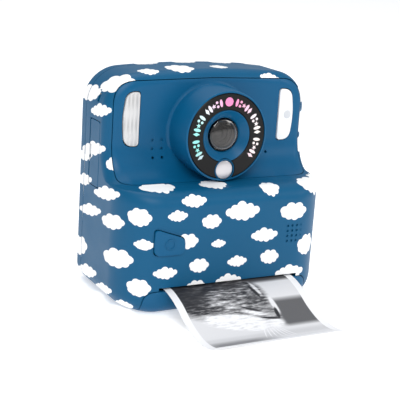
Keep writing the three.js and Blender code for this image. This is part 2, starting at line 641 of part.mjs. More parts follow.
// A spur gear outline with its bore, centred on the origin.
function gearOutline(teeth, bore, phase) {
  const pitch = (GEAR.module * teeth) / 2;
  const tip = pitch + 0.85 * GEAR.module;
  const root = pitch - 1.2 * GEAR.module;
  const step = (2 * Math.PI) / teeth;
  const shape = new THREE.Shape();
  for (let i = 0; i < teeth; i++) {
    const centre = phase + i * step;
    const corners = [[root, -0.31], [tip, -0.13], [tip, 0.13], [root, 0.31]];
    corners.forEach(([radius, offset], j) => {
      const angle = centre + offset * step;
      const [x, y] = [radius * Math.cos(angle), radius * Math.sin(angle)];
      if (i === 0 && j === 0) shape.moveTo(x, y);
      else shape.lineTo(x, y);
    });
  }
  shape.closePath();
  const hole = new THREE.Path();
  hole.absarc(0, 0, bore, 0, 2 * Math.PI, true);
  shape.holes.push(hole);
  return shape;
}

// Gears in a train, each set so that one of its gaps faces a tooth of the gear before it.
const train = [
  { name: 'platen_gear', teeth: 12, bore: PLATEN.shaft + 0.3, y: PLATEN.y, z: PLATEN.z },
  { name: 'idler_gear_lower', teeth: 28, bore: 1.5, ...idlers[0] },
  { name: 'idler_gear_upper', teeth: 28, bore: 1.5, ...idlers[1] },
  { name: 'motor_pinion', teeth: 10, bore: 0.8, ...motorAt },
];
let phase = 0;
train.forEach((gear, i) => {
  const step = (2 * Math.PI) / gear.teeth;
  if (i > 0) {
    const before = train[i - 1];
    const line = Math.atan2(gear.z - before.z, gear.y - before.y);
    const stepBefore = (2 * Math.PI) / before.teeth;
    const toothOffset = (line - phase) / stepBefore; // how far the line of centres is past a tooth
    phase = line + Math.PI + (toothOffset + 0.5) * step;
  }
  const geometry = sidePrism(gearOutline(gear.teeth, gear.bore, phase), GEAR.x, GEAR.x + GEAR.face, 5);
  geometry.translate(0, gear.y, gear.z);
  const shaft = solid(rodX(gear.bore + 0.05, 29.3, GEAR.x + GEAR.face, gear.y, gear.z, 12));
  const isPinion = gear.name === 'motor_pinion'; // the pinion is pressed on its own shaft
  addPart(gear.name, isPinion ? geometryOf(solid(geometry).add(shaft)) : geometry, 'nylon');
});

addPart('feed_motor', rodX(6, 10, 29, motorAt.y, motorAt.z, 28), 'steel');
addPart('platen_shaft', rodX(PLATEN.shaft, -33.4, GEAR.x + GEAR.face + 0.6, PLATEN.y, PLATEN.z, 16), 'steel');
addPart('platen_roller', geometryOf(cut(
  solid(rodX(PLATEN.radius, -28.4, 28.4, PLATEN.y, PLATEN.z, 28)),
  solid(rodX(PLATEN.shaft + 0.3, -40, 40, PLATEN.y, PLATEN.z, 16)),
)), 'rubber');

// ---------------------------------------------------------------- paper door
function paperDoor() {
  const thickness = DOOR.low + DOOR.plate;
  const above = solid(block([-60, -60, DOOR.low], [60, 20, SLOT.low]));
  const shellPart = cut(outer, casingForm(thickness)).intersect(doorRegion(0)).intersect(above);
  const knuckle = solid(rodX(HINGE.radius, -HINGE.knuckle, HINGE.knuckle, HINGE.y, HINGE.z, 24));
  const web = solid(block([-HINGE.knuckle, plateRear - 3, DOOR.low], [HINGE.knuckle, HINGE.y, thickness]));
  const ears = [-1, 1].map((side) => {
    const [x0, x1] = side > 0 ? [28.9, 30.4] : [-30.4, -28.9];
    return solid(block([x0, PLATEN.y - 3.4, thickness - 1], [x1, PLATEN.y + 3.4, PLATEN.z + 3]));
  });
  return cut(
    join(shellPart.subtract(solid(block([-60, HINGE.y, 0], [60, 20, 20]))), knuckle, web, ...ears),
    solid(rodX(HINGE.pin + GAP, -60, 60, HINGE.y, HINGE.z, 16)),
    solid(rodX(PLATEN.shaft + GAP, -60, 60, PLATEN.y, PLATEN.z, 16)),
    solid(rodX(3.9, GEAR.x - 0.4, GEAR.x + GEAR.face + 1, PLATEN.y, PLATEN.z, 20)), // room for the gear
  );
}
addPart('paper_door', geometryOf(paperDoor()), 'blueLight');
addPart('door_hinge_pin', rodX(HINGE.pin, -36, 36, HINGE.y, HINGE.z, 14), 'steel');

// ---------------------------------------------------------------- screws
bossPlaces.forEach(([x, z], i) => {
  const { length, head, shank } = SCREW;
  const profile = [[0, 0], [shank, 0], [shank, length - 2.1], [head, length - 1.1], [head, length], [0, length]];
  const screw = new THREE.LatheGeometry(profile.map(([r, y]) => new THREE.Vector2(r, y)), 16);
  addPart(`case_screw_${i + 1}`, screw, 'steel', [x, CASE.back - SCREW.sunk - length, z]);
});

export default camera;
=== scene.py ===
"""A kids' instant-print camera: satin blue shells printed with white clouds, a round lens barrel with a
black trim ring, and a strip of thermal paper coming out of the slot. Metres, +Z up, the lens looks along -Y."""
import json
import math
from itertools import chain

import bmesh
import bpy
import numpy as np
from bpy.props import FloatProperty, FloatVectorProperty, IntProperty, PointerProperty
from mathutils import Euler, Matrix, Vector
from mathutils.bvhtree import BVHTree


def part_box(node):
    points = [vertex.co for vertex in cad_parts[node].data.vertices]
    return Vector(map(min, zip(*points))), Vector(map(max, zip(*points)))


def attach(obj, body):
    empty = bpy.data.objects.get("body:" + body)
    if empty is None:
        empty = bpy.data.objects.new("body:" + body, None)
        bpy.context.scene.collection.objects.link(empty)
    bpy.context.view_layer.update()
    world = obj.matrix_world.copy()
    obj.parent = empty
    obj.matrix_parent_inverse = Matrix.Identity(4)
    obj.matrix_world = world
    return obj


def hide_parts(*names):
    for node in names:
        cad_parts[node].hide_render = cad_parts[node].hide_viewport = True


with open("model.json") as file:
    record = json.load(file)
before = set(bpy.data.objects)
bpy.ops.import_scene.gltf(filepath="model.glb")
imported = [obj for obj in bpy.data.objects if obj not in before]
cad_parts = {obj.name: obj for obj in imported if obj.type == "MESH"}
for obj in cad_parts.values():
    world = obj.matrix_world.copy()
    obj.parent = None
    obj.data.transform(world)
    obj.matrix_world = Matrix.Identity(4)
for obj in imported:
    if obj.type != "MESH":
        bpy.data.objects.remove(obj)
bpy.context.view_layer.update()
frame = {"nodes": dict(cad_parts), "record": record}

bl_info = {
    "name": "Instant Print Camera",
    "version": (1, 0, 0),
    "blender": (4, 5, 0),
    "location": "View3D > Sidebar > Camera",
    "description": "Builds a kids' instant-print camera around its working frame",
    "category": "Object",
}

MM = 0.001
QUARTER = math.pi / 2


# ------------------------------------------------------------------ settings
def linear(code):
    """An sRGB hex colour as linear RGBA."""
    parts = [int(code[i:i + 2], 16) / 255 for i in (0, 2, 4)]
    return tuple(c / 12.92 if c <= 0.04045 else ((c + 0.055) / 1.055) ** 2.4 for c in parts) + (1.0,)


def colour(name, code, description):
    """A colour setting with its default given as sRGB hex."""
    return FloatVectorProperty(name=name, description=description, subtype="COLOR", size=4, min=0, max=1,
                               default=linear(code))


def length(name, default, description):
    """A length setting, given in millimetres."""
    return FloatProperty(name=name, description=description, subtype="DISTANCE", unit="LENGTH", min=0,
                         default=default * MM)


class CameraSizes(bpy.types.PropertyGroup):
    wall: length("Wall", 2.0, "Thickness of the moulded shells")
    seam: length("Seam", 0.3, "Gap between neighbouring pieces")
    paper: length("Paper", 0.14, "Thickness of the printed strip")
    smooth: IntProperty(name="Fineness", description="Steps round a large corner", default=32, min=6, max=40)


class CameraColours(bpy.types.PropertyGroup):
    casing: colour("Casing", "03547b", "Moulded blue of the shells")
    panel: colour("Panel", "03557e", "Moulded blue of the panel and barrel")
    keys: colour("Keys", "2a6896", "Moulded blue of the keys")
    cloud: colour("Clouds", "fbfbfa", "White ink of the printed clouds")
    ring: colour("Ring", "0c0b0b", "Black of the trim ring")
    spot: colour("Spot", "f48cbc", "Pink spot on the trim ring")


def sizes():
    return bpy.context.scene.camera_sizes


def colours():
    return bpy.context.scene.camera_colours


# ------------------------------------------------------------------ driving shapes, in millimetres
CASE = {"half": 45, "front": -39, "panel": -14.7, "back": 14, "shoulder": 74, "corner": 15,
        "top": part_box("rear_shell")[1].z / MM,
        "foot": 8.5, "edge": 6, "panel_edge": 5, "bulge_edge": 17, "cove": 14.2, "cove_z": 62.4,
        "lip": 6, "lip_z": 41.9, "parting": 5}
PANEL = {"half": 41.9, "top": 87, "corner": 10, "bottom": 48.6, "bottom_corner": 8.5, "seam_y": -25.6}
WINDOW = {"inner": 31.3, "outer": 38.4, "low": 61.1, "high": 82.2, "bow": 3.7}
DOOR = {"half": 36.5, "top": 9.6, "corner": 5.5, "low": 0.5, "plate": 1.8}
HINGE = {"y": -8.5, "z": 2.9, "radius": 2.4, "pin": 0.9, "knuckle": 30.3, "end": 36.4, "sweep": 2.1}
SLOT = {"half": 30.8, "low": 9.6, "high": 11.2}
SHUTTER = {"left": -33.5, "right": -21.2, "low": 24.3, "high_left": 34.7, "high_right": 30.4, "proud": 0.8}
SPEAKER = {"x": 29, "z": 28.4, "pitch": 2.1, "hole": 0.55}
KEYS = {"z": 22, "inner": 5.3, "outer": 11.2, "front": 12.2, "rear": 14.9, "play": 0.25}
SIDE_KEYS = {"menu_button": (-26, 27.5), "playback_button": (-26, 16.5), "power_button": (26, 27.5)}
SIDE_KEY_RADIUS = 3.4
SCREEN = {"half": 27, "half_height": 20.5, "z": 62}
PORT = {"front": -9, "rear": 0, "low": 43.8, "high": 69.7}
SCREWS = [(x, z) for x in (-40, 40) for z in (14, 77)]
PLATEN = {"y": -31.5, "z": 6.2, "radius": 3.6, "shaft": 1.5}
ROLL = {"y": -16, "z": 18, "radius": 12.5, "bore": 6.4, "core_bore": 4.1}
OK_RADIUS = 4.4
VENTS = {"columns": (-25.3, -21.3), "drops": (3.4, 6.8, 10.2), "radius": 0.6}
MICROPHONE = {"x": 25.9, "drop": 10.1}
BARREL = {"rim": 17.75, "root": 18.1, "seat": 17, "seat_depth": 1.7, "bore": 15.2, "clearance": 18.4}
# Where the camera stands, in millimetres, and how it is turned, in degrees. A separate program solved these.
VIEW = {"azimuth": 28.736, "elevation": 15.035, "roll": 3.793, "place": (-203.2, -380.8, 149.7),
        "focal": 96.45, "sensor": 36}
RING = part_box("lens_trim_ring")
RING_Y = RING[0].y / MM
LENS_Z = (RING[0].z + RING[1].z) / 2 / MM - 0.2
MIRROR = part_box("selfie_mirror")
MIRROR_Z = (MIRROR[0].z + MIRROR[1].z) / 2 / MM
MIRROR_RADIUS = (MIRROR[1].x - MIRROR[0].x) / 2 / MM


# ------------------------------------------------------------------ small tools for meshes
def arc(start, end, steps):
    """Evenly spaced angles, both ends included."""
    return np.linspace(start, end, steps + 1)


def fillet(radius, t):
    """How far an edge of this radius stands in, at a distance t from where it starts."""
    rest = np.clip(radius - t, 0, radius)
    return radius - np.sqrt(radius ** 2 - rest ** 2)


def sheet(bm, rows):
    """Lays a grid over rows of points, given in millimetres."""
    made = bmesh.ops.create_grid(bm, x_segments=len(rows[0]) - 1, y_segments=len(rows) - 1, size=1)
    for vert, point in zip(made["verts"], chain.from_iterable(rows)):
        vert.co = Vector(point) * MM
    return made["verts"]


def close_up(bm, fill=True):
    """Welds what meets, fills open ends and turns the faces outwards."""
    bmesh.ops.remove_doubles(bm, verts=bm.verts, dist=4e-6)
    if fill:
        bmesh.ops.holes_fill(bm, edges=[e for e in bm.edges if len(e.link_faces) == 1], sides=0)
    bmesh.ops.recalc_face_normals(bm, faces=bm.faces)
    return bm


def soften(bm, width, angle=30, segments=2):
    """Rounds every edge that turns by more than the angle."""
    edges = [e for e in bm.edges if len(e.link_faces) == 2 and e.calc_face_angle() > math.radians(angle)]
    bmesh.ops.bevel(bm, geom=edges, offset=width * MM, affect="EDGES", segments=segments, profile=0.5,
                    material=-1, clamp_overlap=True)
    return bm


def rounded(corners, steps=10):
    """A closed outline through corner points, each rounded by its own radius."""
    points = []
    for i, (x, z, radius) in enumerate(corners):
        here = Vector((x, z))
        ends = [Vector(corners[j % len(corners)][:2]) for j in (i - 1, i + 1)]
        start, end = [here + (other - here).normalized() * radius for other in ends]
        for t in arc(0, 1, steps):
            points.append(start * (1 - t) ** 2 + here * 2 * t * (1 - t) + end * t ** 2)
    return [tuple(p) for p in points]


def circle(radius, x, z, steps=48):
    return [(x + radius * math.cos(a), z + radius * math.sin(a)) for a in arc(0, 2 * math.pi, steps)[:-1]]


def prism(outline, y0, y1, bm=None):
    """An outline seen from the front (x, z), carried from y0 back to y1."""
    bm = bm or bmesh.new()
    verts = [bm.verts.new((x * MM, y0 * MM, z * MM)) for x, z in outline]
    face = bm.faces.new(verts)
    grown = bmesh.ops.extrude_face_region(bm, geom=[face])["geom"]
    moved = [v for v in grown if isinstance(v, bmesh.types.BMVert)]
    bmesh.ops.translate(bm, verts=moved, vec=(0, (y1 - y0) * MM, 0))
    bmesh.ops.recalc_face_normals(bm, faces=bm.faces)
    return bm


def box(low, high, bm=None):
    """A block between two corners."""
    (x0, y0, z0), (x1, y1, z1) = low, high
    return prism([(x0, z0), (x1, z0), (x1, z1), (x0, z1)], y0, y1, bm)


def lathe(profile, axis="Y", centre=(0, 0, 0), steps=96):
    """Spins a profile of (radius, along) points round an axis. A closed profile repeats its first point."""
    bm = bmesh.new()
    verts = [bm.verts.new((r * MM, a * MM, 0)) for r, a in profile]
    edges = [bm.edges.new(pair) for pair in zip(verts, verts[1:])]
    bmesh.ops.spin(bm, geom=verts + edges, cent=(0, 0, 0), axis=(0, 1, 0), dvec=(0, 0, 0), angle=2 * math.pi,
                   steps=steps, use_merge=True, use_duplicate=False)
    bmesh.ops.remove_doubles(bm, verts=bm.verts, dist=1e-6)
    bmesh.ops.recalc_face_normals(bm, faces=bm.faces)
    if axis == "X":
        bmesh.ops.rotate(bm, verts=bm.verts, cent=(0, 0, 0), matrix=Matrix.Rotation(-QUARTER, 3, "Z"))
    bmesh.ops.translate(bm, verts=bm.verts, vec=Vector(centre) * MM)
    return bm


def rod(radius, a0, a1, axis="Y", centre=(0, 0, 0), steps=64):
    return lathe([(0, a0), (radius, a0), (radius, a1), (0, a1)], axis, centre, steps)


def combine(first, other, operation="DIFFERENCE"):
    """Cuts, joins or crosses two closed bodies, and gives the first one back changed."""
    holders = []
    for part in (first, other):
        mesh = bpy.data.meshes.new("part")
        part.to_mesh(mesh)
        part.free()
        holders.append(bpy.data.objects.new("part", mesh))
        bpy.context.collection.objects.link(holders[-1])
    modifier = holders[0].modifiers.new("combine", "BOOLEAN")
    modifier.operation = operation
    modifier.solver = "MANIFOLD"
    modifier.object = holders[1]
    result = bpy.data.meshes.new_from_object(holders[0].evaluated_get(bpy.context.evaluated_depsgraph_get()))
    made = bmesh.new()
    made.from_mesh(result)
    for mesh in [result] + [holder.data for holder in holders]:
        bpy.data.meshes.remove(mesh)
    if not made.faces:
        raise RuntimeError(f"{operation} left nothing")
    return made


def cut(body, *others):
    for other in others:
        body = combine(body, other)
    return body


def finish_piece(name, bm, material, body, replaces=(), sharp=32):
    """Makes the piece, shades it and ties it to the frame."""
    mesh = bpy.data.meshes.new(name)
    bm.to_mesh(mesh)
    bm.free()
    mesh.shade_smooth()
    mesh.set_sharp_from_angle(angle=math.radians(sharp))
    mesh.materials.append(material)
    piece = bpy.data.objects.new(name, mesh)
    bpy.context.collection.objects.link(piece)
    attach(piece, body)
    if replaces:
        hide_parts(*replaces)
    return piece


# ------------------------------------------------------------------ materials
def add(tree, kind, inputs=None, **settings):
    """Adds a node: settings are its properties, inputs are values or the sockets that feed it."""
    made = tree.nodes.new(kind)
    for key, value in settings.items():
        setattr(made, key, value)
    for key, value in (inputs or {}).items():
        if isinstance(value, bpy.types.NodeSocket):
            tree.links.new(value, made.inputs[key])
        else:
            made.inputs[key].default_value = value
    return made


def material(name, **constants):
    """A material with its tree emptied down to one Principled shader with these constants."""
    made = bpy.data.materials.get(name)
    if made:
        return made, None, None
    made = bpy.data.materials.new(name)
    made.use_nodes = True
    tree = made.node_tree
    shader = tree.nodes["Principled BSDF"]
    for key, value in constants.items():
        shader.inputs[key.replace("_", " ")].default_value = value
    return made, tree, shader


def grain(tree, shader, size_mm, depth_mm, rough, spread, where=None):
    """Moulded texture: bumps of this size, with the gloss varying a little over larger patches."""
    place = where or add(tree, "ShaderNodeTexCoord").outputs["Object"]
    fine = add(tree, "ShaderNodeTexNoise", {"Vector": place, "Scale": 1 / (size_mm * MM), "Detail": 2.0})
    bump = add(tree, "ShaderNodeBump", {"Height": fine.outputs["Fac"], "Distance": depth_mm * MM,
                                        "Strength": 1.0})
    tree.links.new(bump.outputs["Normal"], shader.inputs["Normal"])
    patch = add(tree, "ShaderNodeTexNoise", {"Vector": place, "Scale": 1 / (12 * MM), "Detail": 3.0})
    worn = add(tree, "ShaderNodeMapRange", {"Value": patch.outputs["Fac"], "From Min": 0.3, "From Max": 0.7,
                                            "To Min": rough - spread, "To Max": rough + spread})
    tree.links.new(worn.outputs["Result"], shader.inputs["Roughness"])
    return bump


def tone(tree, colour_a, colour_b, scale_mm, where=None):
    """Two close tones of one colour, mixed in soft patches."""
    place = where or add(tree, "ShaderNodeTexCoord").outputs["Object"]
    patch = add(tree, "ShaderNodeTexNoise", {"Vector": place, "Scale": 1 / (scale_mm * MM), "Detail": 4.0})
    mixed = add(tree, "ShaderNodeMix", {"Factor": patch.outputs["Fac"]}, data_type="RGBA")
    mixed.inputs[6].default_value = colour_a
    mixed.inputs[7].default_value = colour_b
    return mixed.outputs[2]


def shade(colour_value, factor):
    return tuple(min(c * factor, 1) for c in colour_value[:3]) + (1.0,)


def moulded(name, colour_value, rough=0.42, size_mm=0.35, depth_mm=0.006, coat=0.0):
    """Injection-moulded ABS: an even colour, a fine spark-eroded grain and a satin shine."""
    made, tree, shader = material(name, IOR=1.54, Specular_IOR_Level=0.2, Coat_Weight=coat, Coat_Roughness=0.2)
    if tree:
        base = tone(tree, shade(colour_value, 0.96), shade(colour_value, 1.04), 25)
        tree.links.new(base, shader.inputs["Base Color"])
        grain(tree, shader, size_mm, depth_mm, rough, 0.04)
    return made


def printed_casing():
    """Moulded ABS with clouds in white pad-print ink: the ink is a little smoother and hides the grain."""
    made, tree, shader = material("ABS_moulded_printed_clouds", IOR=1.54, Specular_IOR_Level=0.2)
    if not tree:
        return made
    blue = tone(tree, shade(colours().casing, 0.96), shade(colours().casing, 1.04), 25)
    bump = grain(tree, shader, 0.35, 0.006, 0.42, 0.04)
    edge = add(tree, "ShaderNodeAttribute", attribute_name="cloud_edge", attribute_type="GEOMETRY")
    ink = add(tree, "ShaderNodeMapRange", {"Value": edge.outputs["Fac"], "From Min": -0.07, "From Max": 0.07,
                                           "To Min": 1.0, "To Max": 0.0})
    mixed = add(tree, "ShaderNodeMix", {"Factor": ink.outputs["Result"], 6: blue}, data_type="RGBA")
    mixed.inputs[7].default_value = tuple(colours().cloud)
    tree.links.new(mixed.outputs[2], shader.inputs["Base Color"])
    step = add(tree, "ShaderNodeBump", {"Height": ink.outputs["Result"], "Distance": 0.02 * MM, "Strength": 1.0,
                                        "Normal": bump.outputs["Normal"]})
    tree.links.new(step.outputs["Normal"], shader.inputs["Normal"])
    return made


def brushed_steel():
    """Zinc-plated mild steel: grey metal with faint drawn lines and uneven shine."""
    made, tree, shader = material("steel_zinc_plated", Metallic=1.0)
    if tree:
        place = add(tree, "ShaderNodeTexCoord").outputs["Object"]
        drawn = add(tree, "ShaderNodeMapping", {"Vector": place, "Scale": (0.1, 1.0, 1.0)})
        base = tone(tree, linear("b4b7ba"), linear("cdd0d2"), 6, drawn.outputs["Vector"])
        tree.links.new(base, shader.inputs["Base Color"])
        grain(tree, shader, 0.3, 0.002, 0.3, 0.08, drawn.outputs["Vector"])
    return made


def simple(name, dark, light, rough, size_mm, depth_mm, **constants):
    """A finish of two close tones with its own grain."""
    made, tree, shader = material(name, **constants)
    if tree:
        tree.links.new(tone(tree, linear(dark), linear(light), size_mm * 12), shader.inputs["Base Color"])
        grain(tree, shader, size_mm, depth_mm, rough, 0.06)
    return made


def circuit_board():
    """Glass-epoxy board: green solder mask over fine copper tracks that show as paler lines."""
    made, tree, shader = material("FR4_green_solder_mask", IOR=1.5)
    if tree:
        place = add(tree, "ShaderNodeTexCoord").outputs["Object"]
        tracks = add(tree, "ShaderNodeTexBrick", {"Vector": place, "Scale": 1 / (6 * MM), "Mortar Size": 0.03,
                                                  "Color1": linear("1c5637"), "Color2": linear("1f5d3c"),
                                                  "Mortar": linear("3f8257")})
        tree.links.new(tracks.outputs["Color"], shader.inputs["Base Color"])
        grain(tree, shader, 0.5, 0.01, 0.35, 0.05)
    return made


def front_glass():
    """Coated optical glass: clear, hard and mirror-smooth, slightly smoky."""
    made, tree, shader = material("glass_coated_lens", IOR=1.52, Transmission_Weight=1.0, Roughness=0.02,
                                  Base_Color=linear("b9b4b0"))
    if tree:
        grain(tree, shader, 3, 0.0005, 0.03, 0.01)
    return made


FINISHES = {
    "casing_blue": lambda: moulded("ABS_moulded_blue", colours().casing),
    "panel_blue": lambda: moulded("ABS_moulded_panel_blue", colours().panel, 0.38),
    "key_blue": lambda: moulded("ABS_moulded_key_blue", colours().keys, 0.35),
    "black_plastic": lambda: moulded("ABS_moulded_black", linear("1b1a1a"), 0.45),
    "frosted_plastic": lambda: moulded("polycarbonate_frosted", linear("d9dadb"), 0.35, 0.2, 0.004),
    "lens_glass": lambda: simple("acrylic_dark_tinted", "0b0c0e", "101215", 0.08, 2, 0.0005, IOR=1.49,
                                 Coat_Weight=1.0, Coat_Roughness=0.03),
    "mirror_film": lambda: simple("polycarbonate_vacuum_metallised", "c9c6c8", "d6d3d5", 0.3, 4, 0.001,
                                  Metallic=0.7),
    "thermal_paper": lambda: simple("paper_thermal_coated", "eceae6", "f4f3f0", 0.72, 0.4, 0.01),
    "core_tube": lambda: simple("cardboard_grey_wound", "8f7c63", "a8947a", 0.85, 0.5, 0.03),
    "circuit_board": circuit_board,
    "steel": brushed_steel,
    "white_plastic": lambda: moulded("acetal_natural_white", linear("e6e3da"), 0.4, 0.4, 0.004),
    "rubber": lambda: simple("rubber_silicone_dark_blue", "1c3f60", "224a70", 0.65, 0.3, 0.008),
    "ceramic": lambda: simple("alumina_glazed", "cfcabf", "ddd9cf", 0.4, 0.4, 0.004),
    "battery_wrap": lambda: simple("foil_pouch_laminated", "8f9dab", "a9b6c2", 0.35, 1.5, 0.02, Metallic=0.6),
}


# ------------------------------------------------------------------ the casing's form
def crown(inset, corner_steps, crown_steps):
    """The casing's top outline from the right shoulder over to the left one: (x, z) points."""
    corner_x = CASE["half"] - CASE["corner"]
    rise = CASE["top"] - CASE["shoulder"]
    radius = (corner_x ** 2 + rise ** 2 - CASE["corner"] ** 2) / (2 * (rise - CASE["corner"]))
    tangent = math.asin(corner_x / (radius - CASE["corner"]))
    turn = arc(0, QUARTER - tangent, corner_steps)
    side = np.column_stack([corner_x + (CASE["corner"] - inset) * np.cos(turn),
                            CASE["shoulder"] + (CASE["corner"] - inset) * np.sin(turn)])
    over = arc(QUARTER - tangent, QUARTER + tangent, crown_steps)[1:-1]
    middle = np.column_stack([(radius - inset) * np.cos(over),
                              CASE["top"] - radius + (radius - inset) * np.sin(over)])
    return np.vstack([side, middle, side[::-1] * (-1, 1)])


def casing_form(inset, fine):
    """The closed outer form of the casing, its skin set in by inset (or out, when negative)."""
    corner_steps, side_steps, rear_steps = fine, round(fine * 1.2), max(fine // 2, 4)
    crown_steps = fine * 4
    front_line = crown(CASE["panel_edge"], corner_steps, crown_steps)
    rear_line = crown(CASE["edge"], corner_steps, crown_steps)
    across_front = front_line[:, 0] / front_line[0, 0]
    across_rear = rear_line[::-1, 0] / rear_line[0, 0]

    def level(z, y_front):
        side = fillet(CASE["foot"] - inset, z - inset)
        rear = fillet(CASE["edge"] - inset, z - inset)
        x, y_back = CASE["half"] - inset - side, CASE["back"] - inset - rear
        depth = (CASE["panel"] + inset - y_front) / (CASE["panel"] - CASE["front"])
        radius = CASE["panel_edge"] - inset + (CASE["bulge_edge"] - CASE["panel_edge"]) * depth
        rx, ry = max(radius - side, 1), max(radius, 1)
        bx, by = max(CASE["edge"] - inset - side, 1), max(CASE["edge"] - inset - rear, 1)
        turn = arc(0, -QUARTER, corner_steps)
        right = [(x, y) for y in np.linspace(y_back - by, y_front + ry, side_steps + 1)]
        right += [(x - rx + rx * math.cos(a), y_front + ry + ry * math.sin(a)) for a in turn[1:]]
        left = [(-px, py) for px, py in right[::-1]]
        front = [(f * (x - rx), y_front) for f in across_front[1:-1]]
        back = [(-(x - bx) + bx * math.cos(a), y_back - by + by * math.sin(a))
                for a in arc(math.pi, QUARTER, rear_steps)[1:]]
        back += [(f * (x - bx), y_back) for f in across_rear[1:-1]]
        back += [(x - bx + bx * math.cos(a), y_back - by + by * math.sin(a))
                 for a in arc(QUARTER, 0, rear_steps)]
        return [(px, py, z) for px, py in right + front + left + back]

    lip, cove = CASE["lip"] - inset, CASE["cove"] + inset
    face, cove_y = CASE["front"] + inset, CASE["panel"] - CASE["cove"]
    walk = arc(0, QUARTER, corner_steps)
    profile = [(inset + (CASE["foot"] - inset) * (1 - math.cos(a)), None) for a in walk]
    profile = [(z, face + fillet(CASE["edge"] - inset, z - inset)) for z, _ in profile]
    profile += [(z, face) for z in np.linspace(CASE["foot"], CASE["lip_z"], round(fine * 1.5) + 1)[1:]]
    profile += [(CASE["lip_z"] + lip * math.sin(a), face + lip * (1 - math.cos(a))) for a in walk[1:]]
    shelf = [Vector((profile[-1][0], profile[-1][1])), Vector((CASE["cove_z"] - cove, cove_y))]
    profile += [tuple(shelf[0].lerp(shelf[1], t)) for t in (0.25, 0.5, 0.75)]
    profile += [(CASE["cove_z"] - cove * math.cos(a), cove_y + cove * math.sin(a)) for a in walk]
    profile += [(z, CASE["panel"] + inset) for z in np.linspace(CASE["cove_z"], CASE["shoulder"], 12)[1:]]
    bm = bmesh.new()
    sheet(bm, [level(z, y) for z, y in profile])

    front_edge, rear_edge = CASE["panel_edge"] - inset, CASE["edge"] - inset
    stations = [(CASE["panel"] + inset + front_edge * (1 - math.cos(a)), inset + front_edge * (1 - math.sin(a)))
                for a in walk]
    rear_walk = arc(QUARTER, 0, rear_steps)
    rear = [(CASE["back"] - inset - rear_edge * (1 - math.cos(a)), inset + rear_edge * (1 - math.sin(a)))
            for a in rear_walk]
    stations += [(y, inset) for y in np.linspace(stations[-1][0], rear[0][0], side_steps + 1)[1:-1]] + rear
    slices = [[(x, y, z) for x, z in crown(i, corner_steps, crown_steps)] for y, i in stations]
    sheet(bm, slices)
    for cap in (slices[0], slices[-1]):
        rows = []
        for t in arc(0, 1, max(fine // 2, 3)):
            rows.append([(x, y, CASE["shoulder"] + (z - CASE["shoulder"]) * t) for x, y, z in cap])
        sheet(bm, rows)
    return close_up(bm)


def panel_cutter(margin):
    """The front panel's outline as a body whose bottom leans, so that the seam is square to the cove."""
    rows = []
    for y in (PANEL["seam_y"] - 4, -9):
        x, top = PANEL["half"] + margin, PANEL["top"] + margin
        bottom = PANEL["bottom"] - (y - PANEL["seam_y"]) - margin
        outline = rounded([(-x, bottom, PANEL["bottom_corner"]), (x, bottom, PANEL["bottom_corner"]),
                           (x, top - 1, PANEL["corner"]), (0, top, 4), (-x, top - 1, PANEL["corner"])])
        rows.append([(px, y, pz) for px, pz in outline + outline[:1]])
    bm = bmesh.new()
    sheet(bm, rows)
    return close_up(bm)


def window_outline(side, margin=0):
    """Straight towards the lens, bowed towards the side."""
    inner, outer = WINDOW["inner"] - margin, WINDOW["outer"] + margin
    low, high, bow = WINDOW["low"] - margin, WINDOW["high"] + margin, WINDOW["bow"]
    return rounded([(side * inner, low, 1.5), (side * (outer - 1.2), low, bow),
                    (side * outer, (low + high) / 2, 5), (side * (outer - 1.6), high, bow),
                    (side * inner, high, 1.5)])


def shutter_outline(margin=0):
    left, right, low = SHUTTER["left"] - margin, SHUTTER["right"] + margin, SHUTTER["low"] - margin
    return rounded([(left, low, 2.2), (right, low, 2.2), (right, SHUTTER["high_right"] + margin, 2.2),
                    (left, SHUTTER["high_left"] + margin, 2.2)])


def key_outline(turns, margin=0):
    """A quarter-ring key, turned by quarters from the right-hand one."""
    middle, half = turns * QUARTER, math.radians(38)
    outline = []
    for radius, start, end in ((KEYS["outer"] + margin, -half, half), (KEYS["inner"] - margin, half, -half)):
        spread = 1 + margin / radius / half
        outline += [(radius * math.cos(middle + a), KEYS["z"] + radius * math.sin(middle + a))
                    for a in arc(start * spread, end * spread, 20)]
    return outline


def door_region(margin, sweep):
    """The part of the casing that swings down with the door."""
    half, top = DOOR["half"] + margin, DOOR["top"] + margin
    rear = HINGE["y"] - HINGE["radius"] - 0.8
    knuckle = HINGE["knuckle"] + margin
    front = prism(rounded([(-half, -20, 1), (half, -20, 1), (half, top, DOOR["corner"]),
                           (-half, top, DOOR["corner"])]), -60, rear + sweep)
    back = box((-knuckle, rear - 1, -20), (knuckle, HINGE["y"] + HINGE["radius"] + margin, DOOR["top"]))
    return combine(front, back, "UNION")


# ------------------------------------------------------------------ the printed clouds
# Lobes of each kind of cloud as (across, up, radius), for a cloud one unit wide.
CLOUD_KINDS = {
    "long": [(-0.395, -0.01, 0.105), (-0.25, 0.075, 0.105), (-0.04, 0.125, 0.145), (0.2, 0.085, 0.115),
             (0.39, 0.0, 0.11), (-0.27, -0.095, 0.1), (-0.1, -0.135, 0.11), (0.09, -0.15, 0.12),
             (0.27, -0.1, 0.105), (-0.15, 0.0, 0.16), (0.12, 0.0, 0.17)],
    "puff": [(-0.34, 0.06, 0.16), (-0.12, 0.19, 0.17), (0.17, 0.17, 0.17), (0.35, 0.0, 0.15),
             (0.25, -0.17, 0.13), (0.05, -0.24, 0.13), (-0.16, -0.2, 0.13), (-0.32, -0.1, 0.13),
             (-0.08, 0.0, 0.24), (0.12, 0.0, 0.22)],
}
KIND_HEIGHT = {"long": 0.54, "puff": 0.73}

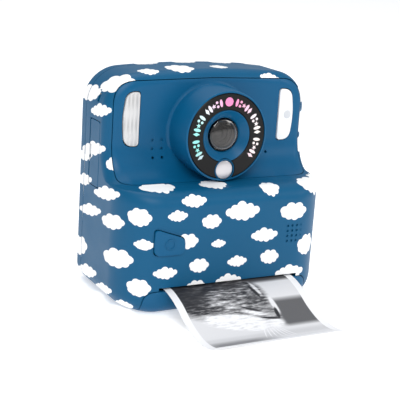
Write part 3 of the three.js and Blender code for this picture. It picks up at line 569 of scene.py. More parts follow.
# Clouds as (x, y, z, width, height, kind) in millimetres: a point on or near the skin, then the size.
# The places and sizes in these four lists came from a separate ray-casting program. About half of the places
# were moved afterwards.
FRONT_CLOUDS = [
    (-24.7, -39, 39.4, 8.4, 4.6, "long"), (3.4, -39, 39.3, 15.2, 8, "long"), (-10, -39, 36.1, 8.6, 5.8, "puff"),
    (27, -39, 37.5, 12.8, 7.4, "puff"), (14.1, -39, 28.8, 12.2, 6, "long"), (-6.4, -39, 27, 6.4, 3.5, "long"),
    (-20.2, -39, 29, 10, 6.2, "puff"), (-14.3, -39, 18.8, 8.6, 5.8, "puff"), (2.5, -39, 19, 8.8, 4.8, "long"),
    (17.3, -39, 19.4, 8.6, 6, "puff"), (-28.5, -38.9, 17.2, 9.9, 5.2, "long"), (27.6, -39, 11.9, 14, 6.6, "long"),
    (-0.8, -39, 11.3, 11.5, 6, "long"), (-14.9, -39, 10.3, 8.5, 5.4, "puff"), (-17.8, -38, 44.6, 10.6, 5.4, "long"),
    (35.4, -37.1, 22.5, 11, 9, "puff"), (-38.7, -35, 38.8, 9.6, 7.2, "puff"), (-36.9, -36.3, 28.4, 8, 4.5, "long"),
    (-38, -35.8, 11.2, 9.6, 7.2, "puff"),
]
SHELF_CLOUDS = [
    (-29.2, -29, 48.4, 14.5, 13, "long"), (-5.5, -29.6, 48.4, 11.5, 11, "long"), (16.7, -35.7, 47, 8.4, 7.8, "puff"),
    (36.6, -33, 46.8, 13, 9, "puff"),
]
LEFT_CLOUDS = [
    (-44.7, -24.1, 34.5, 11.5, 6, "puff"), (-43.8, -27.9, 21.1, 14, 7.6, "puff"), (-45, -2.4, 33.3, 13, 5, "long"),
    (-45, -17.5, 44, 14, 5.6, "long"), (-45, 4.6, 44, 9, 5, "long"), (-45, 4.8, 54, 9, 5, "long"),
    (-45, 7.4, 15.6, 10, 8, "puff"), (-45, -1.2, 7.4, 12, 5.6, "long"), (-44.7, -17.2, 5.2, 10, 4.6, "long"),
    (-40.8, -28.6, 2.2, 9, 4.4, "long"), (-45, -3.4, 58.4, 13, 5.6, "long"), (-44.9, -8.4, 74.4, 10.5, 5.2, "long"),
    (-43.9, 3.5, 79, 11, 6.8, "puff"),
]
TOP_CLOUDS = [
    (-38.6, -11.2, 84.6, 13.6, 9, "puff"), (-26, -9.4, 88.6, 8.4, 5, "long"), (-11.6, -7.5, 90, 11.6, 7, "puff"),
    (6.8, -6, 90.4, 7.4, 4, "long"), (26.4, -13.9, 86.6, 8.6, 4.6, "long"), (42.6, -12.6, 79.5, 5, 6, "puff"),
    (44, -13, 66, 6, 6, "puff"), (-41.8, -15.4, 54.6, 5, 5, "puff"),
]
# Direction that a group of clouds was printed from. The others are printed square to the skin.
PRINTED_FROM = {"left": (-0.57, -0.79, 0.24), "top": (-0.35, -0.8, 0.48)}


def hidden_clouds():
    """Staggered rows of clouds over the sides that the front view doesn't show."""
    rows = []
    for row in range(8):
        z, shift, kind = 7 + row * 10.6, (row % 2) * 8, ("long", "puff")[row % 2]
        rows += [(45, y + shift, z, 10 + row % 3, 5.6 + row % 2, kind)
                 for y in (-28, -12, 4) if y < -8 or z < 80]
        rows += [(x + shift, 14, z, 11 + row % 3, 6 + row % 2, kind) for x in (-38, -21, -4, 13, 30)]
    rows += [(x, 7.5, 92, 10.5, 6.4, "puff") for x in (-19, -2, 15, 31)]
    return rows


def print_clouds(piece, form):
    """Stores at each vertex how far it is outside the nearest cloud's edge, in millimetres."""
    mesh = piece.data
    points = np.empty(len(mesh.vertices) * 3)
    normals = np.empty_like(points)
    mesh.vertices.foreach_get("co", points)
    mesh.vertices.foreach_get("normal", normals)
    points, normals = points.reshape(-1, 3) / MM, normals.reshape(-1, 3)
    edge = np.full(len(points), 5.0)
    groups = [("", FRONT_CLOUDS + SHELF_CLOUDS + hidden_clouds()), ("left", LEFT_CLOUDS), ("top", TOP_CLOUDS)]
    placed = [(group, cloud) for group, clouds in groups for cloud in clouds]
    for group, (x, y, z, width, height, kind) in placed:
        at, out, _, _ = form.find_nearest(Vector((x, y, z)) * MM)
        out = Vector(PRINTED_FROM[group]).normalized() if group else out
        across = Vector((0, 0, 1)).cross(out)
        across = across.normalized() if across.length > 0.2 else Vector((1, 0, 0))
        up = out.cross(across).normalized()
        offset = points - np.array(at) / MM
        u, v, w = (offset @ np.array(axis) for axis in (across, up, out))
        near = (np.hypot(u, v) < width) & (np.abs(w) < width * 1.2) & (normals @ np.array(out) > 0.1)
        u, v = u[near] / width, v[near] * KIND_HEIGHT[kind] / height
        nearest = np.min([np.hypot(u - a, v - b) - r for a, b, r in CLOUD_KINDS[kind]], axis=0)
        edge[near] = np.minimum(edge[near], nearest * height / KIND_HEIGHT[kind])
    attribute = mesh.attributes.new("cloud_edge", "FLOAT", "POINT")
    attribute.data.foreach_set("value", edge.astype(np.float32))


# ------------------------------------------------------------------ operators
class CAMERA_OT_stage(bpy.types.Operator):
    """Sets up the pale floor, the soft lights and the view."""
    bl_idname = "camera_kit.stage"
    bl_label = "Stage"

    def execute(self, context):
        bm = bmesh.new()
        bmesh.ops.create_grid(bm, x_segments=1, y_segments=1, size=6)
        mesh = bpy.data.meshes.new("floor")
        bm.to_mesh(mesh)
        bm.free()
        floor = bpy.data.objects.new("floor", mesh)
        context.collection.objects.link(floor)
        made, tree, shader = material("studio_paper_white", Roughness=0.9)
        tree.links.new(tone(tree, linear("f2f3f5"), linear("f5f5f6"), 60), shader.inputs["Base Color"])
        shader.inputs["Emission Color"].default_value = linear("ffffff")
        shader.inputs["Emission Strength"].default_value = 0.5
        mesh.materials.append(made)

        world = bpy.data.worlds.new("studio")
        world.use_nodes = True
        world.node_tree.nodes["Background"].inputs["Color"].default_value = linear("f4f6fa")
        world.node_tree.nodes["Background"].inputs["Strength"].default_value = 0.55
        context.scene.world = world
        context.scene.view_settings.view_transform = "Standard"
        for name, place, size, power in (
            ("key", (-0.3, -0.75, 0.75), 0.45, 4.6),
            ("overhead", (0.0, 0.15, 0.9), 0.7, 3.2),
            ("side", (0.7, -0.6, 0.5), 0.35, 1.4),
        ):
            lamp = bpy.data.lights.new(name, "AREA")
            lamp.shape, lamp.size, lamp.energy = "SQUARE", size, power
            light = bpy.data.objects.new(name, lamp)
            light.location = place
            light.rotation_euler = (Vector((0, -0.01, 0.04)) - Vector(place)).to_track_quat("-Z", "Y").to_euler()
            context.collection.objects.link(light)

        lens = bpy.data.cameras.new("view")
        lens.lens, lens.sensor_width = VIEW["focal"], VIEW["sensor"]
        view = bpy.data.objects.new("view", lens)
        azimuth, elevation, roll = (math.radians(VIEW[name]) for name in ("azimuth", "elevation", "roll"))
        turn = Euler((QUARTER - elevation, 0, -azimuth)).to_matrix().to_4x4() @ Matrix.Rotation(roll, 4, "Z")
        view.matrix_world = Matrix.Translation(Vector(VIEW["place"]) * MM) @ turn
        context.collection.objects.link(view)
        context.scene.camera = view
        return {"FINISHED"}


class CAMERA_OT_casing(bpy.types.Operator):
    """Builds the front and rear shells with their printed clouds."""
    bl_idname = "camera_kit.casing"
    bl_label = "Casing"

    def execute(self, context):
        seam, wall, fine = sizes().seam / MM, sizes().wall / MM, sizes().smooth
        outer = casing_form(0, fine)
        form = BVHTree.FromBMesh(outer)
        skin = combine(outer, casing_form(wall, fine // 2))
        halves = [skin.copy(), skin]
        front = combine(halves[0], box((-60, -60, -10), (60, CASE["parting"], 110)), "INTERSECT")
        grille = bmesh.new()
        for column in range(5):
            for row in range(4):
                x = SPEAKER["x"] + (column - 2) * SPEAKER["pitch"]
                z = SPEAKER["z"] + (row - 1.5) * SPEAKER["pitch"]
                prism(circle(SPEAKER["hole"], x, z, 16), -45, CASE["front"] + 0.5, grille)
        front = cut(
            front, door_region(seam, HINGE["sweep"]), panel_cutter(seam),
            rod(BARREL["clearance"], -60, 0, centre=(0, 0, LENS_Z)),
            box((-SLOT["half"], -60, SLOT["low"] - 1), (SLOT["half"], -30, SLOT["high"])),
            prism(shutter_outline(seam), -60, -25),
            box((-60, PORT["front"] - seam, PORT["low"] - seam), (-40, PORT["rear"] + 0.7, PORT["high"] + seam)),
            box((-60, -6.3, 77), (-40, -4.7, 80.4)), grille,
        )
        for side in (-1, 1):
            low, high = sorted((side * (HINGE["knuckle"] + seam), side * HINGE["end"]))
            front = combine(front, rod(HINGE["radius"], low, high, "X", (0, HINGE["y"], HINGE["z"])), "UNION")
            front = combine(front, box((low, HINGE["y"], 0.5), (high, HINGE["y"] + 4, wall)), "UNION")
        front = combine(front, rod(HINGE["pin"] + seam, -40, 40, "X", (0, HINGE["y"], HINGE["z"]), 32))
        piece = finish_piece("casing_front", front, printed_casing(), "root", ["front_shell"])
        print_clouds(piece, form)

        rear = combine(halves[1], box((-60, CASE["parting"] + seam, -10), (60, 40, 110)), "INTERSECT")
        half, height = SCREEN["half"] + seam, SCREEN["half_height"] + seam
        corners = ((-half, -height), (half, -height), (half, height), (-half, height))
        screen = [(x, SCREEN["z"] + z, 3.5) for x, z in corners]
        holes = [rod(OK_RADIUS + KEYS["play"], 8, 20, centre=(0, 0, KEYS["z"])), prism(rounded(screen), 8, 20)]
        holes += [prism(key_outline(turns, KEYS["play"]), 8, 20) for turns in range(4)]
        holes += [rod(SIDE_KEY_RADIUS + KEYS["play"], 8, 20, centre=(x, 0, z)) for x, z in SIDE_KEYS.values()]
        holes += [rod(3, 10.4, 20, centre=(x, 0, z)) for x, z in SCREWS]
        rear = cut(rear, *holes)
        piece = finish_piece("casing_rear", rear, printed_casing(), "root", ["rear_shell"])
        print_clouds(piece, form)
        return {"FINISHED"}


class CAMERA_OT_panel(bpy.types.Operator):
    """Builds the plain panel round the lens, with its barrel, vents and window openings."""
    bl_idname = "camera_kit.panel"
    bl_label = "Front panel"

    def execute(self, context):
        seam, wall, fine = sizes().seam / MM, sizes().wall / MM, sizes().smooth
        skin = combine(casing_form(0, fine), casing_form(wall, fine // 2))
        panel = combine(skin, panel_cutter(0), "INTERSECT")
        rim, root, edge, face = BARREL["rim"], BARREL["root"], 0.5, CASE["panel"]
        barrel = lathe([(0, RING_Y), (rim - edge, RING_Y), (rim - 0.15, RING_Y + 0.15), (rim, RING_Y + edge),
                        (root, face - 1.4), (root + 0.4, face - 0.5), (root + 1.4, face + 0.05),
                        (root + 1.4, face + wall), (0, face + wall)], centre=(0, 0, LENS_Z), steps=128)
        panel = combine(panel, barrel, "UNION")
        panel = cut(panel, rod(BARREL["seat"], -60, RING_Y + BARREL["seat_depth"], centre=(0, 0, LENS_Z), steps=128),
                    rod(BARREL["bore"], -60, 0, centre=(0, 0, LENS_Z), steps=128))
        collar = lathe([(0, RING_Y), (MIRROR_RADIUS + 0.4, RING_Y), (MIRROR_RADIUS + 0.55, RING_Y + 0.15),
                        (MIRROR_RADIUS + 0.55, CASE["panel"]), (0, CASE["panel"])], centre=(0, 0, MIRROR_Z))
        panel = combine(panel, collar, "UNION")
        holes = bmesh.new()
        for x in VENTS["columns"]:
            for drop in VENTS["drops"]:
                prism(circle(VENTS["radius"], x, LENS_Z - drop, 20), -40, face + 0.5, holes)
        prism(circle(VENTS["radius"], MICROPHONE["x"], LENS_Z - MICROPHONE["drop"], 20), -40, -5, holes)
        panel = cut(panel, rod(MIRROR_RADIUS + 0.2, -60, RING_Y + 1.3, centre=(0, 0, MIRROR_Z)), holes,
                    prism(window_outline(-1, seam), -40, -5), prism(window_outline(1, seam)[::-1], -40, -5))
        finish_piece("face_panel", panel, FINISHES["panel_blue"](), "root", ["front_panel"])
        return {"FINISHED"}


class CAMERA_OT_lens(bpy.types.Operator):
    """Builds the trim ring with its printed marks, the cone, the front glass, the baffles and the mirror."""
    bl_idname = "camera_kit.lens"
    bl_label = "Lens"

    def execute(self, context):
        at = (0, RING_Y, LENS_Z)
        notch = rod(MIRROR_RADIUS + 0.75, -60, 0, centre=(0, 0, MIRROR_Z))
        ring = lathe([(10.3, 0.25), (10.55, 0), (16.5, 0), (16.75, 0.2), (16.75, 1.3), (10.3, 1.3), (10.3, 0.25)],
                     centre=at, steps=160)
        black = moulded("ABS_moulded_ring_black", colours().ring, 0.34, 0.3, 0.003)
        finish_piece("lens_ring", combine(ring, notch), black, "root", ["lens_trim_ring"])
        self.marks()

        cone = lathe([(7.3, 5.4), (6.75, 5.4), (6.75, 3.1), (7.0, 2.75), (9.9, 0.2), (10.15, 0.25), (10.15, 1.6),
                      (14.9, 1.6), (14.9, 3), (9, 3), (7.3, 5.4)], centre=at, steps=128)
        notch = rod(MIRROR_RADIUS + 0.75, -60, 0, centre=(0, 0, MIRROR_Z))
        finish_piece("lens_cone_blue", combine(cone, notch), FINISHES["panel_blue"](), "root",
                     ["lens_cone"])
        dome = [(6.45 * math.sin(a), 2.7 - 1.5 * math.cos(a)) for a in arc(0, QUARTER, 14)]
        inner = [(5.4 * math.sin(a), 3.3 - 1.2 * math.cos(a)) for a in arc(QUARTER, 0, 10)]
        finish_piece("lens_front_element", lathe(dome + [(6.45, 3.3)] + inner, centre=at), front_glass(), "root",
                     ["lens_glass"])
        steps = [(6.5, 3.4), (5.7, 3.5), (5.6, 4.3), (4.6, 4.5), (4.5, 5.3), (3.4, 5.5), (3.3, 6.4), (1.9, 6.6),
                 (1.8, 7.6), (0, 7.7), (0, 12), (6.6, 12), (6.6, 14.3), (8, 14.3), (8, 19), (0, 19)]
        inside = simple("ABS_matt_black_with_brown_cast", "090706", "120d0b", 0.3, 0.3, 0.003, IOR=1.5)
        finish_piece("lens_baffles", lathe([(6.55, 12), *steps[:9], (0, 7.7)] + steps[10:], centre=at), inside,
                     "root", ["lens_module"])
        bowl = [((MIRROR_RADIUS - 0.05) * math.sin(a), 0.42 - 0.5 * math.cos(a)) for a in arc(0, QUARTER, 12)]
        mirror = lathe(bowl + [(MIRROR_RADIUS - 0.05, 1), (0, 1)], centre=(0, RING_Y, MIRROR_Z))
        bmesh.ops.translate(mirror, verts=mirror.verts, vec=(0, 0.1 * MM, 0))
        finish_piece("selfie_mirror_domed", mirror, FINISHES["mirror_film"](), "root",
                     ["selfie_mirror"])
        return {"FINISHED"}

    def marks(self):
        """Groups of five small playful marks round the ring, and one plain spot at the top."""
        petal = [(0.62 * side * math.cos(a), 1.55 * math.sin(a)) for side in (1, -1)
                 for a in (arc(-QUARTER, QUARTER, 8)[:-1] if side > 0 else arc(QUARTER, -QUARTER, 8)[:-1])]
        star = [((1.05 if i % 2 else 0.45) * math.cos(i * math.pi / 5 - QUARTER),
                 (1.05 if i % 2 else 0.45) * math.sin(i * math.pi / 5 - QUARTER)) for i in range(10)]
        diamond = [(0.72, 0), (0, 1.5), (-0.72, 0), (0, -1.5)]
        shapes = [[petal], [circle(0.55, 0, 0.85, 16), circle(0.55, 0, -0.85, 16)], [star], [petal], [diamond]]
        bm = bmesh.new()
        face, middle, pitch = RING_Y - 0.03, 13.5, 7.15
        for start, turn in ((105, 1), (75, -1)):
            step = 0
            for group in range(3):
                for outlines in shapes:
                    angle = math.radians(start + turn * step)
                    away = Vector((math.cos(angle), math.sin(angle)))
                    side = Vector((math.sin(angle), -math.cos(angle)))
                    for outline in outlines:
                        marked = [side * x + away * (z + middle) for x, z in outline]
                        prism([(p.x, p.y + LENS_Z) for p in marked], face, RING_Y + 0.05, bm)
                    step += pitch
                step += pitch * 0.75
        ink, tree, shader = material("ink_pad_printed_pastel", Roughness=0.45)
        place = add(tree, "ShaderNodeTexCoord").outputs["Object"]
        centred = add(tree, "ShaderNodeMapping", {"Vector": place, "Location": (0, 0, -LENS_Z * MM)})
        parts = add(tree, "ShaderNodeSeparateXYZ", {"Vector": centred.outputs["Vector"]})
        angle = add(tree, "ShaderNodeMath", {0: parts.outputs["X"], 1: parts.outputs["Z"]}, operation="ARCTAN2")
        around = add(tree, "ShaderNodeMapRange", {"Value": angle.outputs["Value"], "From Min": -math.pi,
                                                  "From Max": math.pi})
        ramp = add(tree, "ShaderNodeValToRGB", {"Fac": around.outputs["Result"]})
        stops = [(0.1, "f2c9e4"), (0.19, "8fe9e0"), (0.3, "a4efe8"), (0.38, "eef2fb"), (0.47, "f3a6cf"),
                 (0.54, "f590bf"), (0.66, "fbe9ee"), (0.75, "fdf6ea"), (0.9, "f8cfe2")]
        for place_at, code in stops[2:]:
            ramp.color_ramp.elements.new(place_at)
        for element, (place_at, code) in zip(ramp.color_ramp.elements, stops):
            element.position, element.color = place_at, linear(code)
        tree.links.new(ramp.outputs["Color"], shader.inputs["Base Color"])
        finish_piece("ring_marks", bm, ink, "root")
        spot = lathe([(0, -0.03), (1.75, -0.03), (1.75, 0.05), (0, 0.05)], centre=(0, RING_Y, LENS_Z + middle))
        finish_piece("ring_spot", spot, moulded("ink_pad_printed_pink", colours().spot, 0.45), "root")


class CAMERA_OT_windows(bpy.types.Operator):
    """Builds the ribbed flash window, the plain signal window and its lamp."""
    bl_idname = "camera_kit.windows"
    bl_label = "Windows"

    def execute(self, context):
        front = CASE["panel"] - 0.3
        flash = soften(prism(window_outline(-1), front - 0.2, front + 1.6), 0.35)
        made, tree, shader = material("polycarbonate_frosted_ribbed", IOR=1.58, Coat_Weight=0.6,
                                      Coat_Roughness=0.15)
        place = add(tree, "ShaderNodeTexCoord").outputs["Object"]
        ribs = add(tree, "ShaderNodeTexWave", {"Vector": place, "Scale": 0.314 / (1.6 * MM)}, bands_direction="X")
        blocks = add(tree, "ShaderNodeTexWave", {"Vector": place, "Scale": 0.314 / (9.5 * MM), "Phase Offset": 1.2},
                     bands_direction="Z")
        both = add(tree, "ShaderNodeMath", {0: ribs.outputs["Fac"], 1: blocks.outputs["Fac"]}, operation="MULTIPLY")
        mixed = add(tree, "ShaderNodeMix", {"Factor": both.outputs["Value"]}, data_type="RGBA")
        mixed.inputs[6].default_value = linear("d2d1d0")
        mixed.inputs[7].default_value = linear("b4b3b2")
        tree.links.new(mixed.outputs[2], shader.inputs["Base Color"])
        grain(tree, shader, 0.3, 0.003, 0.3, 0.05)
        bump = add(tree, "ShaderNodeBump", {"Height": ribs.outputs["Fac"], "Distance": 0.12 * MM})
        tree.links.new(bump.outputs["Normal"], shader.inputs["Normal"])
        finish_piece("flash_window_ribbed", flash, made, "root", ["flash_window"])

        signal = soften(prism(window_outline(1)[::-1], front - 0.2, front + 1.6), 0.35)
        white = moulded("polycarbonate_opal_white", linear("f6f6f6"), 0.25, 0.4, 0.002, 0.5)
        finish_piece("signal_window_opal", signal, white, "root", ["signal_window"])
        lamp = lathe([(0, -0.22), (1.7, -0.22), (1.9, -0.1), (1.9, 2), (0, 2)], centre=(35.4, front, 71.6))
        grey = moulded("polycarbonate_diffuser_grey", linear("d3d5d8"), 0.3, 0.3, 0.002)
        finish_piece("signal_lamp_diffuser", lamp, grey, "root", ["signal_lamp"])
        return {"FINISHED"}


class CAMERA_OT_buttons(bpy.types.Operator):
    """Builds the shutter button, the ring of direction keys and the round keys."""
    bl_idname = "camera_kit.buttons"
    bl_label = "Buttons"

    def execute(self, context):
        fine = sizes().smooth
        body = combine(prism(shutter_outline(), -45, -35.6), casing_form(-SHUTTER["proud"], fine), "INTERSECT")
        ring = lathe([(1.7, -0.3), (2.1, -0.3), (2.1, 1), (1.7, 1), (1.7, -0.3)],
                     centre=(-27.5, -39.75, 28.6), steps=48)
        body = combine(body, ring, "UNION")
        stem = rod(2.4, -36.5, -33.7, centre=(-27.5, 0, 28.6))
        body = soften(combine(body, stem, "UNION"), 0.12, 50)
        finish_piece("shutter_key", body, FINISHES["panel_blue"](), "shutter", ["shutter_button"])

        rear, front = KEYS["rear"], KEYS["front"]
        for turns, name in enumerate(("right", "up", "left", "down")):
            key = soften(prism(key_outline(turns), front, rear), 0.4, 40, 3)
            finish_piece(f"{name}_key_domed", key, FINISHES["key_blue"](), name, [f"{name}_key"])
        rounds = {"ok_button": (0, KEYS["z"], OK_RADIUS), **{n: (*p, SIDE_KEY_RADIUS) for n, p in SIDE_KEYS.items()}}
        for name, (x, z, radius) in rounds.items():
            dome = [((radius - 0.4) * math.sin(a), rear - 0.25 * (1 - math.cos(a))) for a in arc(0, QUARTER, 6)]
            profile = dome + [(radius - 0.1, rear - 0.35), (radius, rear - 0.6), (radius, front), (0, front)]
            white = name in ("ok_button", "power_button")
            slot = "white_plastic" if white else "key_blue"
            finish_piece(f"{name}_domed", lathe(profile, centre=(x, 0, z), steps=64), FINISHES[slot](),
                         name.split("_")[0], [name])
        return {"FINISHED"}


class CAMERA_OT_screen(bpy.types.Operator):
    """Builds the screen's window with its printed black border."""
    bl_idname = "camera_kit.screen"
    bl_label = "Screen"

    def execute(self, context):
        half, height, z = SCREEN["half"], SCREEN["half_height"], SCREEN["z"]
        corners = [(-half, z - height, 3.2), (half, z - height, 3.2), (half, z + height, 3.2),
                   (-half, z + height, 3.2)]
        window = soften(prism(rounded(corners), 12.3, CASE["back"] - 0.2), 0.3)
        made, tree, shader = material("acrylic_screen_black_border", IOR=1.49, Coat_Weight=1.0,
                                      Coat_Roughness=0.02)
        place = add(tree, "ShaderNodeTexCoord").outputs["Object"]
        centred = add(tree, "ShaderNodeMapping", {"Vector": place, "Location": (0, 0, -z * MM)})
        parts = add(tree, "ShaderNodeSeparateXYZ", {"Vector": centred.outputs["Vector"]})
        reach = []
        for axis, limit in (("X", half - 4), ("Z", height - 4)):
            size = add(tree, "ShaderNodeMath", {0: parts.outputs[axis]}, operation="ABSOLUTE")
            reach.append(add(tree, "ShaderNodeMath", {0: size.outputs["Value"], 1: limit * MM}, operation="SUBTRACT"))
        most = add(tree, "ShaderNodeMath", {0: reach[0].outputs["Value"], 1: reach[1].outputs["Value"]},
                   operation="MAXIMUM")
        border = add(tree, "ShaderNodeMapRange", {"Value": most.outputs["Value"], "From Min": -0.1 * MM,
                                                  "From Max": 0.1 * MM})
        mixed = add(tree, "ShaderNodeMix", {"Factor": border.outputs["Result"]}, data_type="RGBA")
        mixed.inputs[6].default_value = linear("1a1f27")
        mixed.inputs[7].default_value = linear("070708")
        tree.links.new(mixed.outputs[2], shader.inputs["Base Color"])
        grain(tree, shader, 4, 0.0005, 0.07, 0.02)
        finish_piece("screen_glass", window, made, "root", ["screen_window"])
        return {"FINISHED"}


# Route of the paper's middle, as (y, z) points in millimetres from the platen out to the loose end.
PAPER_ROUTE = [(-24, 7.6), (-28.5, 9.4), (-31.5, 10.3), (-40, 10.2), (-48, 7.9), (-56, 3.9), (-63, 1.4), (-69, 0.45),
               (-75, 0.95), (-80, 2.6)]
PAPER_WIDTH = 57


def spline(points, count):
    """Evenly numbered points on a smooth curve through the given ones."""
    points = np.array(points, float)
    made = []
    for t in np.linspace(0, len(points) - 1, count):
        i = min(int(t), len(points) - 2)
        p0, p1, p2, p3 = (points[max(min(j, len(points) - 1), 0)] for j in (i - 1, i, i + 1, i + 2))
        f, m1, m2 = t - i, (p2 - p0) / 2, (p3 - p1) / 2
        made.append((2 * f ** 3 - 3 * f ** 2 + 1) * p1 + (f ** 3 - 2 * f ** 2 + f) * m1
                    + (3 * f ** 2 - 2 * f ** 3) * p2 + (f ** 3 - f ** 2) * m2)
    return np.array(made)


def blob(a, b, middle_a, middle_b, radius_a, radius_b, soft=0.25, tilt=0.0):
    """1 inside a soft-edged ellipse and 0 outside it."""
    c, s = math.cos(math.radians(tilt)), math.sin(math.radians(tilt))
    x, y = (a - middle_a) * c + (b - middle_b) * s, (b - middle_b) * c - (a - middle_a) * s
    reach = np.hypot(x / radius_a, y / radius_b)
    return np.clip((1 + soft / 2 - reach) / soft, 0, 1) ** 1.5


def picture(a, b):
    """Brightness and furriness of the print, a across from the left and b down from the slot, in millimetres."""
    light = np.full(a.shape, 0.9)
    fur = np.zeros(a.shape)

    def paint(where, value, furry=0.0):
        nonlocal light, fur
        light = light * (1 - where) + value * where
        fur = fur * (1 - where) + furry * where

    def band(low, high, soft, left=-9, right=99, fade=3):
        """A soft stripe across the print, faded at its ends."""
        deep = np.clip((b - low) / soft, 0, 1) * np.clip((high - b) / soft, 0, 1)
        return deep * np.clip((a - left) / fade, 0, 1) * np.clip((right - a) / fade, 0, 1)

    # The room behind, out of focus: pale at the slot, a dark block at the right, streaks below.
    paint(band(-9, 3, 2, 28), 0.3)
    paint(band(12, 29, 2.5, 35), 0.36)
    paint(band(30, 36, 5), 0.72)
    paint(band(33, 40, 4, -9, 30, 12), 0.42)
    paint(band(37, 43, 2.5, -9, 17, 9), 0.2)
    # The animal's head in profile, its nose to the right: dark back, striped cheek, white jaw, whiskers.
    paint(blob(a, b, 12, 5, 22, 14.5, 0.3, 8), 0.26, 0.9)
    paint(blob(a, b, 24, 11, 12.4, 14, 0.25), 0.42, 0.9)
    paint(blob(a, b, 31, 20.5, 6.6, 6, 0.3), 0.55, 0.6)
    paint(blob(a, b, 19, 22.6, 15, 4.8, 0.4, 16), 1.0, 0.3)
    paint(blob(a, b, 32, 25.6, 5, 3, 0.4, -12), 0.97, 0.2)
    paint(blob(a, b, 27.5, 18.6, 7.5, 1.3, 0.8, 18), 0.92, 0.4)
    paint(blob(a, b, 18, 13, 9, 1.8, 0.9, 14), 0.66, 0.8)
    paint(blob(a, b, 3, 4, 8, 9, 0.6), 0.12, 0.3)
    paint(blob(a, b, 18, 1.5, 14, 3, 0.7), 0.16, 0.5)
    paint(blob(a, b, 33.6, 6, 0.9, 4.6, 0.6, -10), 0.9, 0.2)
    paint(blob(a, b, 32.3, 7.6, 0.7, 3.8, 0.4, -14), 0.08)
    paint(blob(a, b, 37.2, 15.8, 1.2, 4.8, 0.5, -4), 0.95, 0.1)
    paint(blob(a, b, 36.4, 20, 0.8, 3, 0.4, 8), 0.06)
    paint(blob(a, b, 32.6, 22.3, 3.9, 0.6, 0.4, 12), 0.1)
    paint(blob(a, b, 26.5, 16.4, 4.4, 0.6, 0.5, 24), 0.16)
    for i in range(7):
        paint(blob(a, b, 25 + 1.6 * i, 31 + 0.3 * i, 4.2, 0.2, 0.9, 112 - 7 * i), 1.0)
    return np.clip(light, 0, 1), fur


class CAMERA_OT_paper(bpy.types.Operator):
    """Builds the printed strip of thermal paper with its grey picture and white border."""
    bl_idname = "camera_kit.paper"
    bl_label = "Paper print"

    def execute(self, context):
        across, along = 220, 300
        route = spline(PAPER_ROUTE, along)
        run = np.concatenate([[0], np.cumsum(np.hypot(*np.diff(route, axis=0).T))])
        slot_run = np.interp(-CASE["front"], -route[:, 0], run)
        xs = np.linspace(-PAPER_WIDTH / 2, PAPER_WIDTH / 2, across)
        bm = bmesh.new()
        sheet(bm, [[(x, y, z) for x in xs] for y, z in route])
        if bm.faces[:][0].normal.z < 0:
            bmesh.ops.reverse_faces(bm, faces=bm.faces)
        a, b = np.meshgrid(xs + PAPER_WIDTH / 2, run - slot_run)
        light, fur = picture(a - 3, b)
        end = run[-1] - slot_run
        border = np.minimum(np.minimum(a, PAPER_WIDTH - a) - 3.0, end - 4.5 - b)
        piece = finish_piece("paper_strip", bm, self.printed(), "root", ["paper_print"], 80)
        for name, values in (("light", light), ("fur", fur), ("border", border)):
            layer = piece.data.attributes.new(name, "FLOAT", "POINT")
            layer.data.foreach_set("value", values.ravel().astype(np.float32))
        solid = piece.modifiers.new("thickness", "SOLIDIFY")
        solid.thickness, solid.offset = sizes().paper, 0
        return {"FINISHED"}

    def printed(self):
        """Coated thermal paper: smooth and matt, with a grey dotted image burnt into the coating."""
        made, tree, shader = material("paper_thermal_printed", Roughness=0.62)
        place = add(tree, "ShaderNodeTexCoord").outputs["Object"]
        layers = {name: add(tree, "ShaderNodeAttribute", attribute_name=name).outputs["Fac"]
                  for name in ("light", "fur", "border")}
        lean = add(tree, "ShaderNodeMapping", {"Vector": place, "Rotation": (0, 0, math.radians(-16)),
                                               "Scale": (0.35, 1.5, 1.0)})
        hair = add(tree, "ShaderNodeTexNoise", {"Vector": lean.outputs["Vector"], "Scale": 1 / (1.3 * MM),
                                                "Detail": 3.0, "Roughness": 0.6})
        swing = add(tree, "ShaderNodeMath", {0: hair.outputs["Fac"], 1: 0.5}, operation="SUBTRACT")
        depth = add(tree, "ShaderNodeMath", {0: swing.outputs["Value"], 1: layers["fur"]}, operation="MULTIPLY")
        value = add(tree, "ShaderNodeMath", {0: depth.outputs["Value"], 1: 2.4, 2: layers["light"]},
                    operation="MULTIPLY_ADD", use_clamp=True)
        edge = add(tree, "ShaderNodeMapRange", {"Value": layers["border"], "From Min": -0.1, "From Max": 0.1})
        curve = add(tree, "ShaderNodeMath", {0: value.outputs["Value"], 1: 2.2}, operation="POWER")
        ramp = add(tree, "ShaderNodeMix", {"Factor": curve.outputs["Value"]}, data_type="RGBA")
        ramp.inputs[6].default_value = linear("1b1c22")
        ramp.inputs[7].default_value = linear("f3f3f5")
        mixed = add(tree, "ShaderNodeMix", {"Factor": edge.outputs["Result"], 7: ramp.outputs[2]}, data_type="RGBA")
        mixed.inputs[6].default_value = linear("f1f1f2")
        tree.links.new(mixed.outputs[2], shader.inputs["Base Color"])
        grain(tree, shader, 0.5, 0.004, 0.62, 0.05)
        return made


